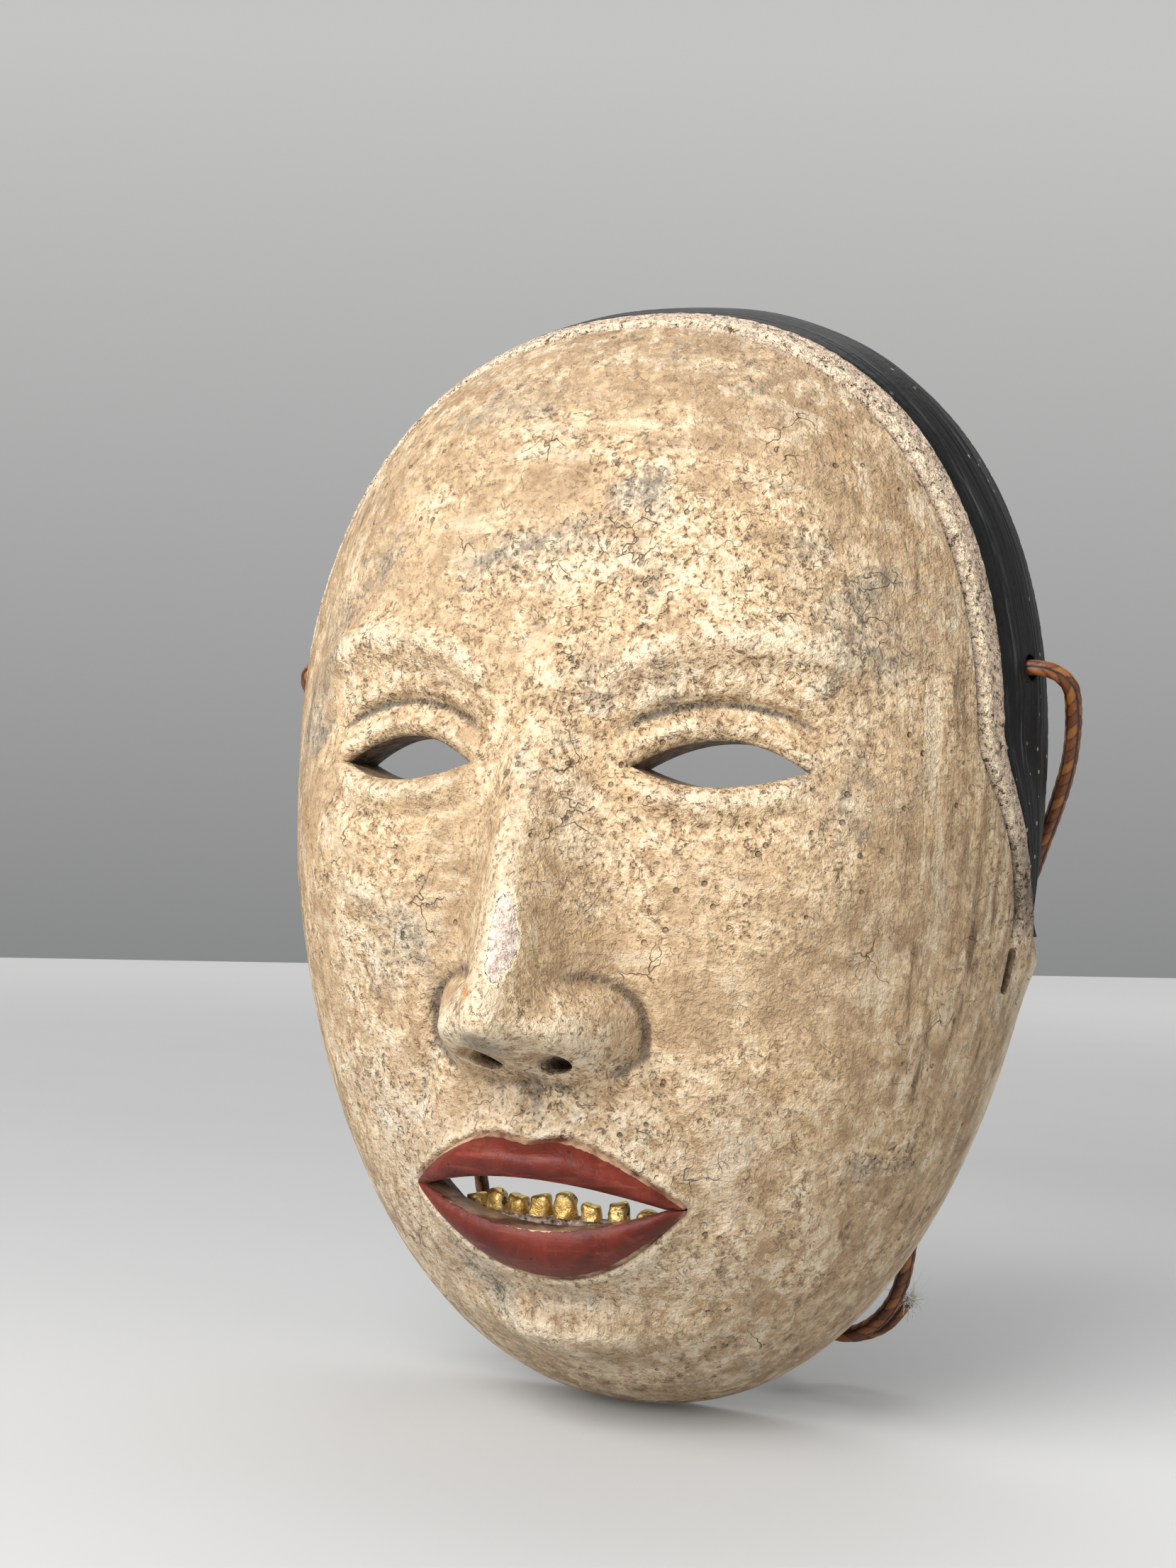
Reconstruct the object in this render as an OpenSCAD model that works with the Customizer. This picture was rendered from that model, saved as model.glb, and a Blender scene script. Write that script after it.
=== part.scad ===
// Noh mask: a carved and painted wooden face with a black hair band, painted
// lips, gilt lower teeth and a braided tie cord in two halves.
// Frame: +Z up, the face looks along -Y, the back rim lies in the plane y = 0
// and the origin is the middle of that rim. A "depth" is a distance in front
// of the rim plane, so depth = -y. Angles run from the crown (0) round the
// +X side (90) to the chin (180).

/* [Mask] */
// Height of the mask over its back rim
mask_h = 208; // [190:1:225]
// Width of the mask over its back rim
mask_w = 145; // [132:1:158]
// Depth of the plain dome in front of the rim plane
dome_d = 60; // [52:1:68]
// Thickness of the carved wall at the rim
rim_wall = 6.4; // [5:0.1:8]
// Thickness of the carved wall at the middle of the dome
dome_wall = 8; // [6:0.5:10]
// How much the jaw is narrower, and the forehead wider, than the middle
egg = 0.13; // [0.05:0.01:0.2]
// Fullness of the outline: 2 is an ellipse, more is squarer
fullness = 2.2; // [2:0.05:2.5]

/* [Hair band] */
// Depth of the black band, from the rim to the cream fillet
band_w = 21; // [14:1:26]
// Thickness of the band
band_t = 1.8; // [1.2:0.1:2.4]
// How far the fillet stands proud of the band
band_step = 0.7; // [0.3:0.1:1.2]
// Height at which the band ends beside the ears
band_end_z = -18; // [-30:1:0]
// Width of the cream fillet in front of the band, as depth
fillet_w = 6; // [4:0.5:9]

/* [Face] */
// Height of the brow line
brow_z = 30; // [24:1:36]
// Height of the eye line
eye_z = 13; // [8:1:18]
// Distance from the middle to the centre of an eye
eye_x = 29; // [26:1:32]
// Length of an eye opening
eye_l = 28; // [22:1:32]
// Height of an eye opening
eye_h = 8; // [6:0.5:10]
// Height of the base of the nose
nose_z = -37; // [-42:1:-32]
// How far the tip of the nose stands out of the dome
nose_d = 21; // [14:1:26]
// Half width of the nose at its wings
nose_w = 15; // [12:1:18]
// Height of the line between the lips
mouth_z = -60; // [-64:1:-56]
// Width of the mouth over its corners
mouth_w = 50; // [44:1:58]
// Height of the gap between the lips
mouth_gap = 9; // [7:0.5:12]
// Height of the middle of the chin
chin_z = -87; // [-92:1:-82]

/* [Lips and teeth] */
// Height of the painted upper lip
upper_lip_h = 7.5; // [5:0.5:9]
// Height of the painted lower lip
lower_lip_h = 9; // [6:0.5:11]
// How far the lips stand out of the face
lip_t = 4; // [2:0.5:5]
// Thickness of the gum ridge behind the lower lip
gum_t = 5; // [4:0.5:7]
// Height of the gum ridge
gum_h = 9; // [6:0.5:12]
// Number of gilt teeth
tooth_n = 8; // [6:1:10]
// Distance from one tooth to the next
tooth_pitch = 4.6; // [4.2:0.1:5]
// Height of a tooth over the gum
tooth_h = 5; // [3.5:0.5:6]

/* [Tie cord] */
// Diameter of the braided cord
cord_d = 3; // [2.4:0.1:3.4]
// Diameter of the cord holes
cord_hole_d = 4.6; // [4.2:0.1:6]
// Height of the cord holes
cord_hole_z = 34; // [28:1:40]
// Depth of the cord holes in front of the rim
cord_hole_depth = 11; // [8:1:14]
// Diameter of the stopper knots inside the mask
stopper_d = 8; // [6:0.5:10]

/* [Hidden] */
rings = 28;              // rings of points from the middle of the face to the rim
inner_rings = rings / 2;
disc_z = -24;            // middle of the outer disc of rings
relief_fade = 0.09;      // the carving fades over this much of the level inside the fillet
band_gap = 0.45;         // the step behind the fillet takes this much of its height
groove_d = 1.1;          // depth of the groove inside the fillet
taper = 20;              // degrees over which the band narrows to its ends
taper_left = 0.3;        // share of its width that it keeps there
stub_out = 1.5;          // the carved ear stub at the band's end stands out this far
ear_slot_z = -19;
ear_slot_depth = 12;     // how far the slot lies in front of the rim plane
ear_slot_h = 8;
ear_slot_w = 2.4;
ear_slot_cut = 2.6;      // how deep it is cut
clear = 0.15;            // clearance of painted pieces over the wood
roundness = 2.4;         // power of the dome's profile
half_h = mask_h / 2;
half_w = mask_w / 2;

// ---- plain maths ----
function soft(lo, hi, v) = let (t = min(1, max(0, (v - lo) / (hi - lo)))) t * t * (3 - 2 * t);
function bump(x, w) = exp(-(x / w) * (x / w));
function hill(x, z, cx, cz, wx, wz) = bump(x - cx, wx) * bump(z - cz, wz);
function power(v, p) = v < 0 ? -pow(-v, p) : pow(v, p);

// ---- outline: a point at angle a whose level is 1 on the rim ----
function width_at(z) = 1 + egg * z / half_h;
function place(a, level, hw, hh) =
    let (z = hh * level * power(cos(a), 2 / fullness))
    [hw * width_at(z) * level * power(sin(a), 2 / fullness), z];
function level_at(x, z, hw, hh) =
    pow(pow(abs(x / (hw * width_at(z))), fullness) + pow(abs(z / hh), fullness), 1 / fullness);
function dome(level, deep) = deep * sqrt(max(0, 1 - pow(level, roundness)));
function outward(a) =
    let (d = place(a + 0.5, 1, half_w, half_h) - place(a - 0.5, 1, half_w, half_h))
    [-d[1], d[0]] / norm(d);

// ---- the face: hills and hollows on the dome, as depths in mm ----
function brow_arc(u) = brow_z + 4 - 5 * pow((u - eye_x - 5) / 20, 2);
function brow(u, z) = 2.6 * bump(z - brow_arc(u), 6) * soft(5, 14, u) * (1 - soft(42, 56, u));
function nose_run(z) = min(1, max(0, (brow_z - 5 - z) / (brow_z - 13 - nose_z)));
function nose(u, z) =
    let (s = nose_run(z))
    (2 + (nose_d - 2) * pow(s, 1.1)) * bump(u, 6.5 + 2.5 * s)
        * soft(nose_z - 4, nose_z + 7, z) * (1 - soft(brow_z - 6, brow_z + 10, z))
    + 8 * hill(u, z, nose_w - 4, nose_z + 6, 5.5, 6.5);
function socket(u, z) = -6.5 * hill(u, z, eye_x, eye_z + 4, 17, 9.5);
function lids(u, z) = 5.5 * hill(u, z, eye_x, eye_z - 1, 13.5, 8);
function muzzle(u, z) =
    5 * hill(u, z, 0, mouth_z, 26, 15)
    - 3 * hill(u, z, 0, mouth_z - mouth_gap / 2 - lower_lip_h - 5, 20, 4.5)
    - 0.8 * hill(u, z, 0, mouth_z + mouth_gap / 2 + upper_lip_h + 4, 3, 5);
function relief(x, z) =
    let (u = abs(x))
    brow(u, z) + nose(u, z) + socket(u, z) + lids(u, z) + muzzle(u, z)
    + 6 * hill(u, z, 0, chin_z, 17, 10)
    + 3.5 * hill(u, z, 43, nose_z + 31, 17, 15)
    + 1.5 * hill(u, z, 24, brow_z + 30, 22, 18)
    - 2 * hill(u, z, 60, brow_z + 14, 12, 18);

// ---- outer and inner skins of the wooden wall ----
function skin_depth(x, z) =
    let (level = level_at(x, z, half_w, half_h))
    dome(level, dome_d) + relief(x, z) * (1 - soft(fillet_level - relief_fade, fillet_level, level));
inner_w = half_w - rim_wall;
inner_h = half_h - rim_wall;
function hollow_depth(x, z) =
    let (u = abs(x), level = level_at(x, z, inner_w, inner_h))
    dome(level, dome_d - dome_wall)
    - (5.5 * hill(u, z, eye_x, eye_z + 3, 22, 15) - 6 * hill(u, z, 0, nose_z + 16, 12, 22)
        + 3 * hill(u, z, 0, mouth_z - 18, 24, 9)) * (1 - soft(0.8, 0.97, level));

// ---- the band's rebate: a step in the side wall from ear to ear ----
rebate = band_t + band_step;
band_end_a = acos(power(band_end_z / half_h, fullness / 2));
function rim_level(depth) = pow(1 - pow(depth / dome_d, 2), 1 / roundness);
function side_x(z, depth, hw, hh, deep) =
    hw * width_at(z) * pow(pow(1 - pow(depth / deep, 2), fullness / roundness)
        - pow(abs(z) / hh, fullness), 1 / fullness);
band_level = rim_level(band_w);
fillet_level = rim_level(band_w + fillet_w);
function past_end(a) = (a > 180 ? 360 - a : abs(a)) - band_end_a;
function band_share(a) = 1 - soft(-5, 0, past_end(a));
function stub(a) = stub_out * bump(past_end(a) + 2, 4);
function floor_inset(a) = let (s = band_share(a)) rebate * s - stub(a) * (1 - s);
// The band's front edge draws back to the rim near its ends, and the fillet widens
function drawn_back(depth, a) =
    let (u = past_end(a), s = 1 - (1 - taper_left) * (soft(-taper, -3, u) - soft(4, 20, u)))
    depth < band_w ? depth * s : depth + (band_w + fillet_w - depth) / fillet_w * band_w * (s - 1);
function wall_point(a, level, inset) =
    let (p = place(a, level, half_w, half_h) - inset * outward(a))
    [p[0], -dome(level, dome_d), p[1]];

// ---- discs of rings, with 8 k points on ring k ----
function ring_start(k) = 1 + 4 * k * (k - 1);
function ring_index(k, oct, j) = k == 0 ? 0 : ring_start(k) + (oct * k + j) % (8 * k);
function turn(f, base, flip) = flip ? [f[2] + base, f[1] + base, f[0] + base] : [for (i = f) i + base];
function disc_faces(n, base, flip) = [
    for (k = [1 : n], oct = [0 : 7], j = [0 : k - 1]) each concat(
        [turn([ring_index(k, oct, j), ring_index(k, oct, j + 1), ring_index(k - 1, oct, j)], base, flip)],
        j < k - 1 ? [turn([ring_index(k - 1, oct, j), ring_index(k, oct, j + 1),
            ring_index(k - 1, oct, j + 1)], base, flip)] : [])];

// The outer disc is centred on the nose, where the carving is finest; its last
// five rings are the groove, the fillet, the step down to the band and the rim
face_rings = rings - 5;
function face_level(k) = let (t = k / face_rings) fillet_level * t * (0.8 + 0.2 * t);
function face_place(k, a) =
    let (level = face_level(k), t = k / face_rings)
    place(a, level, half_w, half_h) + [0, disc_z * (1 - t * t)];
side_depths = [band_w + fillet_w / 2, band_w, band_w - band_gap, band_w / 2, 0];
function outer_point(k, a) =
    k < face_rings
        ? let (p = face_place(k, a)) [p[0], -skin_depth(p[0], p[1]), p[1]]
        : k == face_rings ? wall_point(a, fillet_level, groove_d * band_share(a))
        : let (i = k - face_rings - 1)
            wall_point(a, rim_level(drawn_back(side_depths[i], a)),
                i > 1 ? floor_inset(a) : -stub(a) * (i == 1 ? 1 : 0.5));
function inner_point(k, a) =
    let (level = pow(sin(90 * k / inner_rings), 2 / roundness), p = place(a, level, inner_w, inner_h))
    [p[0], k == inner_rings ? 0 : -hollow_depth(p[0], p[1]), p[1]];

module wall_solid() {
    base = ring_start(rings + 1);
    rim = 8 * inner_rings;
    outer_first = ring_start(rings);
    inner_first = base + ring_start(inner_rings);
    polyhedron(
        points = concat(
            [outer_point(0, 0)],
            [for (k = [1 : rings], i = [0 : 8 * k - 1]) outer_point(k, 45 * i / k)],
            [inner_point(0, 0)],
            [for (k = [1 : inner_rings], i = [0 : 8 * k - 1]) inner_point(k, 45 * i / k)]),
        faces = concat(
            disc_faces(rings, 0, true),
            disc_faces(inner_rings, base, false),
            // two outer edges to each inner edge round the rim
            [for (i = [0 : rim - 1]) each
                let (a = outer_first + 2 * i, b = a + 1, c = outer_first + (2 * i + 2) % (2 * rim),
                    d = inner_first + i, e = inner_first + (i + 1) % rim)
                [[a, b, d], [b, e, d], [b, c, e]]]),
        convexity = 6);
}

// ---- outline curves of the mouth, as heights over x ----
function bow(x, half, rise) = rise * (1 - pow(x / half, 2));
mouth_half = mouth_w / 2;
gap_half = mouth_half - 2.5;
gap_up = mouth_gap * 0.45;
gap_down = mouth_gap - gap_up;
gum_top = mouth_z - gap_down + 1;
function mouth_top(x) = mouth_z + bow(x, mouth_half, gap_up + upper_lip_h) - 1.8 * bump(x, 5) * bow(x, mouth_half, 1);
function mouth_bottom(x) = mouth_z - bow(x, mouth_half, gap_down + lower_lip_h);
function gap_top(x) = mouth_z + max(clear / 2, bow(x, gap_half, gap_up));
function gap_bottom(x) = mouth_z - max(clear / 2, bow(x, gap_half, gap_down));
mouth_xs = [for (i = [-12 : 12]) i * mouth_half / 12.5];
mouth_outline = concat(
    [[-mouth_half, mouth_z]], [for (x = mouth_xs) [x, mouth_top(x)]],
    [[mouth_half, mouth_z]], [for (i = [24 : -1 : 0]) [mouth_xs[i], mouth_bottom(mouth_xs[i])]]);

// A hole of the child's outline, straight through the face along Y
module through_face(x, z) {
    translate([x, 0, z]) rotate([90, 0, 0]) linear_extrude(2 * dome_d) children();
}
module almond(half, up, down, steps = 16) {
    xs = [for (i = [0 : steps]) -half + 2 * half * i / steps];
    polygon(concat([for (x = xs) [x, bow(x, half, up)]],
        [for (i = [steps - 1 : -1 : 1]) [xs[i], -bow(xs[i], half, down)]]));
}
// Both holes for the tie cord, from side to side
module cord_holes() {
    translate([0, -cord_hole_depth, cord_hole_z]) rotate([0, 90, 0])
        cylinder(d = cord_hole_d, h = mask_w + 20, center = true, $fn = 32);
}
// The slot under the end of the band, cut into the side of the wall
module ear_slots() {
    for (side = [-1, 1])
        translate([side * (side_x(ear_slot_z, ear_slot_depth, half_w, half_h, dome_d) + 2), -ear_slot_depth, ear_slot_z])
            rotate([0, 90, 0]) linear_extrude(2 * (2 + ear_slot_cut), center = true) {
                square([ear_slot_h - ear_slot_w, ear_slot_w], center = true);
                for (end = [-1, 1]) translate([end * (ear_slot_h - ear_slot_w) / 2, 0])
                    circle(d = ear_slot_w, $fn = 16);
            }
}

module face_shell() {
    color([0.80, 0.72, 0.58]) difference() {
        wall_solid();
        for (side = [-1, 1])
            through_face(side * eye_x, eye_z) almond(eye_l / 2, eye_h * 0.6, eye_h * 0.4);
        through_face(0, 0) polygon(mouth_outline);
        cord_holes();
        ear_slots();
    }
}

// ---- solids lofted through rings of points, closed with a fan at each end ----
function middle(ring) = [for (i = [0 : 2]) [for (p = ring) p[i]] * [for (p = ring) 1] / len(ring)];
module loft(sections) {
    n = len(sections[0]);
    m = len(sections);
    polyhedron(
        points = concat([for (s = sections) each s], [middle(sections[0]), middle(sections[m - 1])]),
        faces = concat(
            [for (i = [0 : m - 2], j = [0 : n - 1]) each
                let (a = i * n + j, b = i * n + (j + 1) % n) [[a, b + n, b], [a, a + n, b + n]]],
            [for (j = [0 : n - 1]) each [[m * n, j, (j + 1) % n],
                [m * n + 1, (m - 1) * n + (j + 1) % n, (m - 1) * n + j]]]),
        convexity = 4);
}

// ---- black band over the brow, let into the side wall ----
band_depths = [0.5, band_w / 2, band_w - band_gap - clear];
band_reach = band_end_a - 2.5;
band_steps = 64;
function band_section(a) =
    let (back = floor_inset(a) - clear, front = back - band_t * band_share(a))
    concat(
        [for (d = band_depths) wall_point(a, rim_level(drawn_back(d, a)), front)],
        [for (i = [2 : -1 : 0]) wall_point(a, rim_level(drawn_back(band_depths[i], a)), back)]);
module hair_band() {
    color([0.06, 0.06, 0.07]) difference() {
        loft([for (i = [0 : band_steps]) band_section(-band_reach + 2 * band_reach * i / band_steps)]);
        cord_holes();
    }
}

// ---- lips: inserts that fill the mouth's cut, with a rounded front ----
lip_back = 5;
function lip_swell(x, s) = (0.4 + lip_t * pow(sin(180 * (0.06 + 0.84 * s)), 0.8)) * sqrt(max(0, bow(x, mouth_half, 1)));
function lip_section(x, edge, border, back_edge, back_border) = concat(
    [for (i = [0 : 5]) let (s = 1 - i / 5, z = border + (edge - border) * s)
        [x, -skin_depth(x, z) - lip_swell(x, s), z]],
    [[x, -back_border, border], [x, -back_edge, edge]]);
module upper_lip() {
    color([0.55, 0.16, 0.10]) loft([for (x = mouth_xs)
        let (edge = gap_top(x), border = mouth_top(x) - clear)
        lip_section(x, edge, border, hollow_depth(x, edge) + 2, hollow_depth(x, border) + 2)]);
}
function lower_edge(x) = gap_bottom(x);
function lower_border(x) = mouth_bottom(x) + clear;
// Depth of the lower lip's back at any height
function lower_back(x, z) =
    let (a = lower_border(x), b = lower_edge(x), da = skin_depth(x, a) - lip_back, db = skin_depth(x, b) - lip_back)
    da + (db - da) * (z - a) / (b - a);
module lower_lip() {
    color([0.55, 0.16, 0.10]) loft([for (i = [24 : -1 : 0])
        let (x = mouth_xs[i], edge = lower_edge(x), border = lower_border(x))
        lip_section(x, edge, border, lower_back(x, edge), lower_back(x, border))]);
}

// ---- gum ridge behind the lower lip, and the teeth standing on it ----
function gum_front(x, z) = lower_back(x, z) - clear;
module gum_ridge() {
    color([0.35, 0.24, 0.14]) loft([for (i = [3 : 21])
        let (x = mouth_xs[i], low = max(lower_border(x), gum_top - gum_h),
            front_low = gum_front(x, low), front_top = gum_front(x, gum_top))
        [[x, -front_low, low], [x, -front_low + gum_t, low],
            [x, -front_top + gum_t, gum_top], [x, -front_top, gum_top]]]);
}
tooth_w = tooth_pitch - 0.6;
tooth_t = gum_t - 1.8;
module tooth(h) {
    shape = [[0.94, 0], [1, 0.35], [0.97, 0.75], [0.72, 1]];
    loft([for (s = shape) [for (i = [0 : 11]) let (a = 30 * i)
        [tooth_w / 2 * s[0] * power(cos(a), 0.7), tooth_t / 2 * s[0] * power(sin(a), 0.7), h * s[1]]]]);
}
module lower_teeth() {
    color([0.72, 0.52, 0.22]) for (i = [0 : tooth_n - 1]) {
        x = (i - (tooth_n - 1) / 2) * tooth_pitch;
        slope = (gum_front(x + 1, gum_top) - gum_front(x - 1, gum_top)) / 2;
        translate([x, -gum_front(x, gum_top) + gum_t / 2, gum_top])
            rotate([0, 0, -atan(slope)]) tooth(tooth_h * (1 - 0.0012 * x * x));
    }
}

// ---- tie cord ----
hole_out = side_x(cord_hole_z, cord_hole_depth, half_w, half_h, dome_d);
hole_in = side_x(cord_hole_z, cord_hole_depth, inner_w, inner_h, dome_d - dome_wall);
knot_at = [20, 23, -91.6];
function spline(p, i, t) =
    let (a = p[max(i - 1, 0)], b = p[i], c = p[i + 1], d = p[min(i + 2, len(p) - 1)])
    b + t / 2 * ((c - a) + t * ((2 * a - 5 * b + 4 * c - d) + t * (3 * (b - c) + d - a)));
function curve(p, steps) =
    concat([for (i = [0 : len(p) - 2], s = [0 : steps - 1]) spline(p, i, s / steps)], [p[len(p) - 1]]);
function unit(v) = v / norm(v);
function tube(path, r, sides) = [for (i = [0 : len(path) - 1])
    let (t = unit(path[min(i + 1, len(path) - 1)] - path[max(i - 1, 0)]),
        u = unit(cross([0, 1, 0.01], t)), v = cross(t, u))
    [for (j = [0 : sides - 1]) path[i] + r * (cos(360 * j / sides) * u + sin(360 * j / sides) * v)]];
// From the stopper in the hole, out past the rim, round behind it and down
hang = [
    [hole_in - 0.2, -cord_hole_depth, cord_hole_z],
    [hole_out - 0.1, -cord_hole_depth, cord_hole_z],
    [hole_out + 2.9, -cord_hole_depth + 0.6, cord_hole_z - 0.5],
    [hole_out + 5.1, -cord_hole_depth + 2.1, cord_hole_z - 2],
    [hole_out + 5.9, -cord_hole_depth + 4.4, cord_hole_z - 4.4],
    [hole_out + 5.2, -1.5, cord_hole_z - 9.8],
    [hole_out + 3.6, 3.6, cord_hole_z - 15.8],
    [hole_out + 1, 8, cord_hole_z - 22.5],
    [hole_out - 1.9, 11, cord_hole_z - 29.5],
    [0.918 * half_w, 13.2, -2.8],
    [0.865 * half_w, 15, -11],
    [0.80 * half_w, 16, -21],
    [0.745 * half_w, 16.5, -35],
    [0.69 * half_w, 17, -50],
    [0.65 * half_w, 17.5, -62],
    [0.625 * half_w, 18, -72],
    [0.60 * half_w, 19, -81]];
right_route = concat(hang, [
    [0.545 * half_w, 20.5, -87.8],
    [0.46 * half_w, 22, knot_at[2] - 0.4],
    [knot_at[0] + 6.2, 23, knot_at[2] - 0.6]]);
left_route = concat([for (p = hang) [-p[0], p[1], p[2]]], [
    [-0.54 * half_w, 20.5, -88.2],
    [-0.44 * half_w, 22, -92],
    [-0.27 * half_w, 23, -93.4],
    [-0.08 * half_w, 23.6, -93.4],
    [knot_at[0] - 12, 23.4, -92.8],
    [knot_at[0] - 6.2, 23, knot_at[2] - 0.6]]);
module right_tie_cord() {
    color([0.55, 0.27, 0.10]) loft(tube(curve(right_route, 2), cord_d / 2, 8));
}
module left_tie_cord() {
    color([0.55, 0.27, 0.10]) loft(tube(curve(left_route, 2), cord_d / 2, 8));
}
// A rounded lump along X
module lump(at, half, r) {
    loft([for (i = [0 : 8]) let (a = 8 + 20.5 * i)
        [for (j = [0 : 11]) at + [-half * cos(a), r * sin(a) * cos(30 * j), r * sin(a) * sin(30 * j)]]]);
}
module stopper_knots() {
    color([0.50, 0.25, 0.10]) for (side = [-1, 1])
        lump([side * (hole_in - 0.3 - stopper_d / 2), -cord_hole_depth, cord_hole_z], stopper_d / 2, stopper_d / 2);
}
// The knot that joins the halves, with its two short tails
module tie_knot() {
    color([0.50, 0.25, 0.10]) {
        lump(knot_at, 6, 4.5);
        for (end = [[[0, 2, 0], [4, 5.5, -2], [11, 7.5, -2.6], [18, 6, 0.5], [23, 3.5, 6.5]],
                [[0, 2, 0], [-3, 7, -2.4], [-8, 10.5, -6], [-13, 11, -9.5]]])
            loft(tube(curve([for (p = end) knot_at + p], 2), cord_d / 2 * 0.95, 8));
    }
}

face_shell();
hair_band();
upper_lip();
lower_lip();
gum_ridge();
lower_teeth();
stopper_knots();
right_tie_cord();
left_tie_cord();
tie_knot();
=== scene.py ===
# A carved and painted noh mask with a black hair band, red lips, gilt teeth and
# a braided tie cord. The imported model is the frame, and every piece here sits
# where its solid does. Shapes are worked out in millimetres, written in metres.
import math

import bmesh
import bpy
import numpy as np
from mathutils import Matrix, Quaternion, Vector


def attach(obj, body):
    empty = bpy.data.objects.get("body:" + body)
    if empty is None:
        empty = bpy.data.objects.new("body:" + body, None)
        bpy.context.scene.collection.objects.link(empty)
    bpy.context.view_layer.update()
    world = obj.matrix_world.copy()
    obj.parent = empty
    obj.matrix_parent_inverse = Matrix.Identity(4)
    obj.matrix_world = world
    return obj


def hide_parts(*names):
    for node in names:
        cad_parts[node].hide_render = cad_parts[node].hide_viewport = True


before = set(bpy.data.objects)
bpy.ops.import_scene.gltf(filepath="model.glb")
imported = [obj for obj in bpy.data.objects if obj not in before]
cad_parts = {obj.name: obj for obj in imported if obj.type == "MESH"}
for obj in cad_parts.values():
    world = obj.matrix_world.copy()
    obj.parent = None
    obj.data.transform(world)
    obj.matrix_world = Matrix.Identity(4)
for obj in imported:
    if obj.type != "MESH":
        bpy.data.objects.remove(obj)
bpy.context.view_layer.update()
mm = 0.001

# ---- shader maths as plain expressions ----
class Wire:
    def __init__(self, finish, socket):
        self.finish, self.socket = finish, socket

    def maths(self, kind, other=0.0, swap=False):
        pair = (other, self) if swap else (self, other)
        return self.finish.node("ShaderNodeMath", {"operation": kind}, {0: pair[0], 1: pair[1]})

    def __add__(self, other):
        return self.maths("ADD", other)

    def __sub__(self, other):
        return self.maths("SUBTRACT", other)

    def __rsub__(self, other):
        return self.maths("SUBTRACT", other, swap=True)

    def __mul__(self, other):
        return self.maths("MULTIPLY", other)

    def most(self, other):
        return self.maths("MAXIMUM", other)

    def ramp(self, low, high):
        # 0 below low, 1 above high, smooth between
        return self.finish.node("ShaderNodeMapRange", {"interpolation_type": "SMOOTHSTEP"}, {
            "Value": self, "From Min": low, "From Max": high})

    __radd__ = __add__
    __rmul__ = __mul__


class Finish:
    def __init__(self, name):
        self.material = bpy.data.materials.new(name)
        self.material.use_nodes = True
        self.tree = self.material.node_tree
        self.tree.nodes.clear()
        self.shader = self.tree.nodes.new("ShaderNodeBsdfPrincipled")
        output = self.tree.nodes.new("ShaderNodeOutputMaterial")
        self.tree.links.new(self.shader.outputs[0], output.inputs["Surface"])
        where = self.tree.nodes.new("ShaderNodeTexCoord")
        self.coords, self.tone = Wire(self, where.outputs["Object"]), None

    def fill(self, node, sockets):
        for key, value in sockets.items():
            named = (s for s in node.inputs if s.name == key and s.enabled)
            socket = node.inputs[key] if isinstance(key, int) else next(named)
            if isinstance(value, Wire):
                self.tree.links.new(value.socket, socket)
            elif isinstance(value, tuple) and len(value) == 3 and socket.type == "RGBA":
                socket.default_value = (*value, 1)
            else:
                socket.default_value = value

    def node(self, kind, settings=None, sockets=None, output=0):
        node = self.tree.nodes.new(kind)
        for key, value in (settings or {}).items():
            setattr(node, key, value)
        self.fill(node, sockets or {})
        outputs = [s for s in node.outputs if s.enabled]
        return Wire(self, node.outputs[output] if isinstance(output, str) else outputs[output])

    def stretched(self, scale, turn=(0, 0, 0)):
        return self.node("ShaderNodeMapping", None, {"Vector": self.coords, "Scale": scale, "Rotation": turn})

    def noise(self, scale, detail=3.0, rough=0.55, twist=0.0, where=None):
        return self.node("ShaderNodeTexNoise", None, {
            "Vector": where or self.coords, "Scale": scale, "Detail": detail, "Roughness": rough,
            "Distortion": twist})

    def cells(self, scale, feature="F1", where=None):
        return self.node("ShaderNodeTexVoronoi", {"feature": feature}, {
            "Vector": where or self.coords, "Scale": scale})

    def vector(self, kind, sockets, output=0):
        return self.node("ShaderNodeVectorMath", {"operation": kind}, sockets, output)

    def upward(self):
        return self.node("ShaderNodeSeparateXYZ", None, {"Vector": self.coords}, "Z")

    def mix(self, factor, a, b):
        return self.node("ShaderNodeMix", {"data_type": "RGBA"}, {"Factor": factor, "A": a, "B": b})

    def over(self, share, colour):
        # lays a colour over the tone so far
        self.tone = self.mix(share, self.tone, colour)

    def attribute(self, name):
        return self.node("ShaderNodeAttribute", {"attribute_name": name}, None, "Fac")

    def height(self, value, distance, before=None):
        sockets = {"Height": value, "Distance": distance, "Strength": 1.0}
        if before:
            sockets["Normal"] = before
        return self.node("ShaderNodeBump", None, sockets)

    def finished(self, specular=0.5, **sockets):
        self.shader.inputs["Specular IOR Level"].default_value = specular
        self.fill(self.shader, {key.replace("_", " "): value for key, value in sockets.items()})
        return self.material


# ---- small tools for making and shaping meshes ----
def clearSelection():
    if bpy.context.object and bpy.context.object.mode != "OBJECT":
        bpy.ops.object.mode_set(mode="OBJECT")
    bpy.ops.object.select_all(action="DESELECT")


def points(piece):
    flat = np.empty(len(piece.data.vertices) * 3)
    piece.data.vertices.foreach_get("co", flat)
    return flat.reshape(-1, 3)


def setPoints(piece, millimetres):
    piece.data.vertices.foreach_set("co", (np.asarray(millimetres) * mm).ravel())
    piece.data.update()


def pick(piece):
    clearSelection()
    piece.select_set(True)
    bpy.context.view_layer.objects.active = piece


def applied(piece, kind, **settings):
    pick(piece)
    mod = piece.modifiers.new(kind.lower(), kind)
    for key, value in settings.items():
        setattr(mod, key, value)
    bpy.ops.object.modifier_apply(modifier=mod.name)


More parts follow.
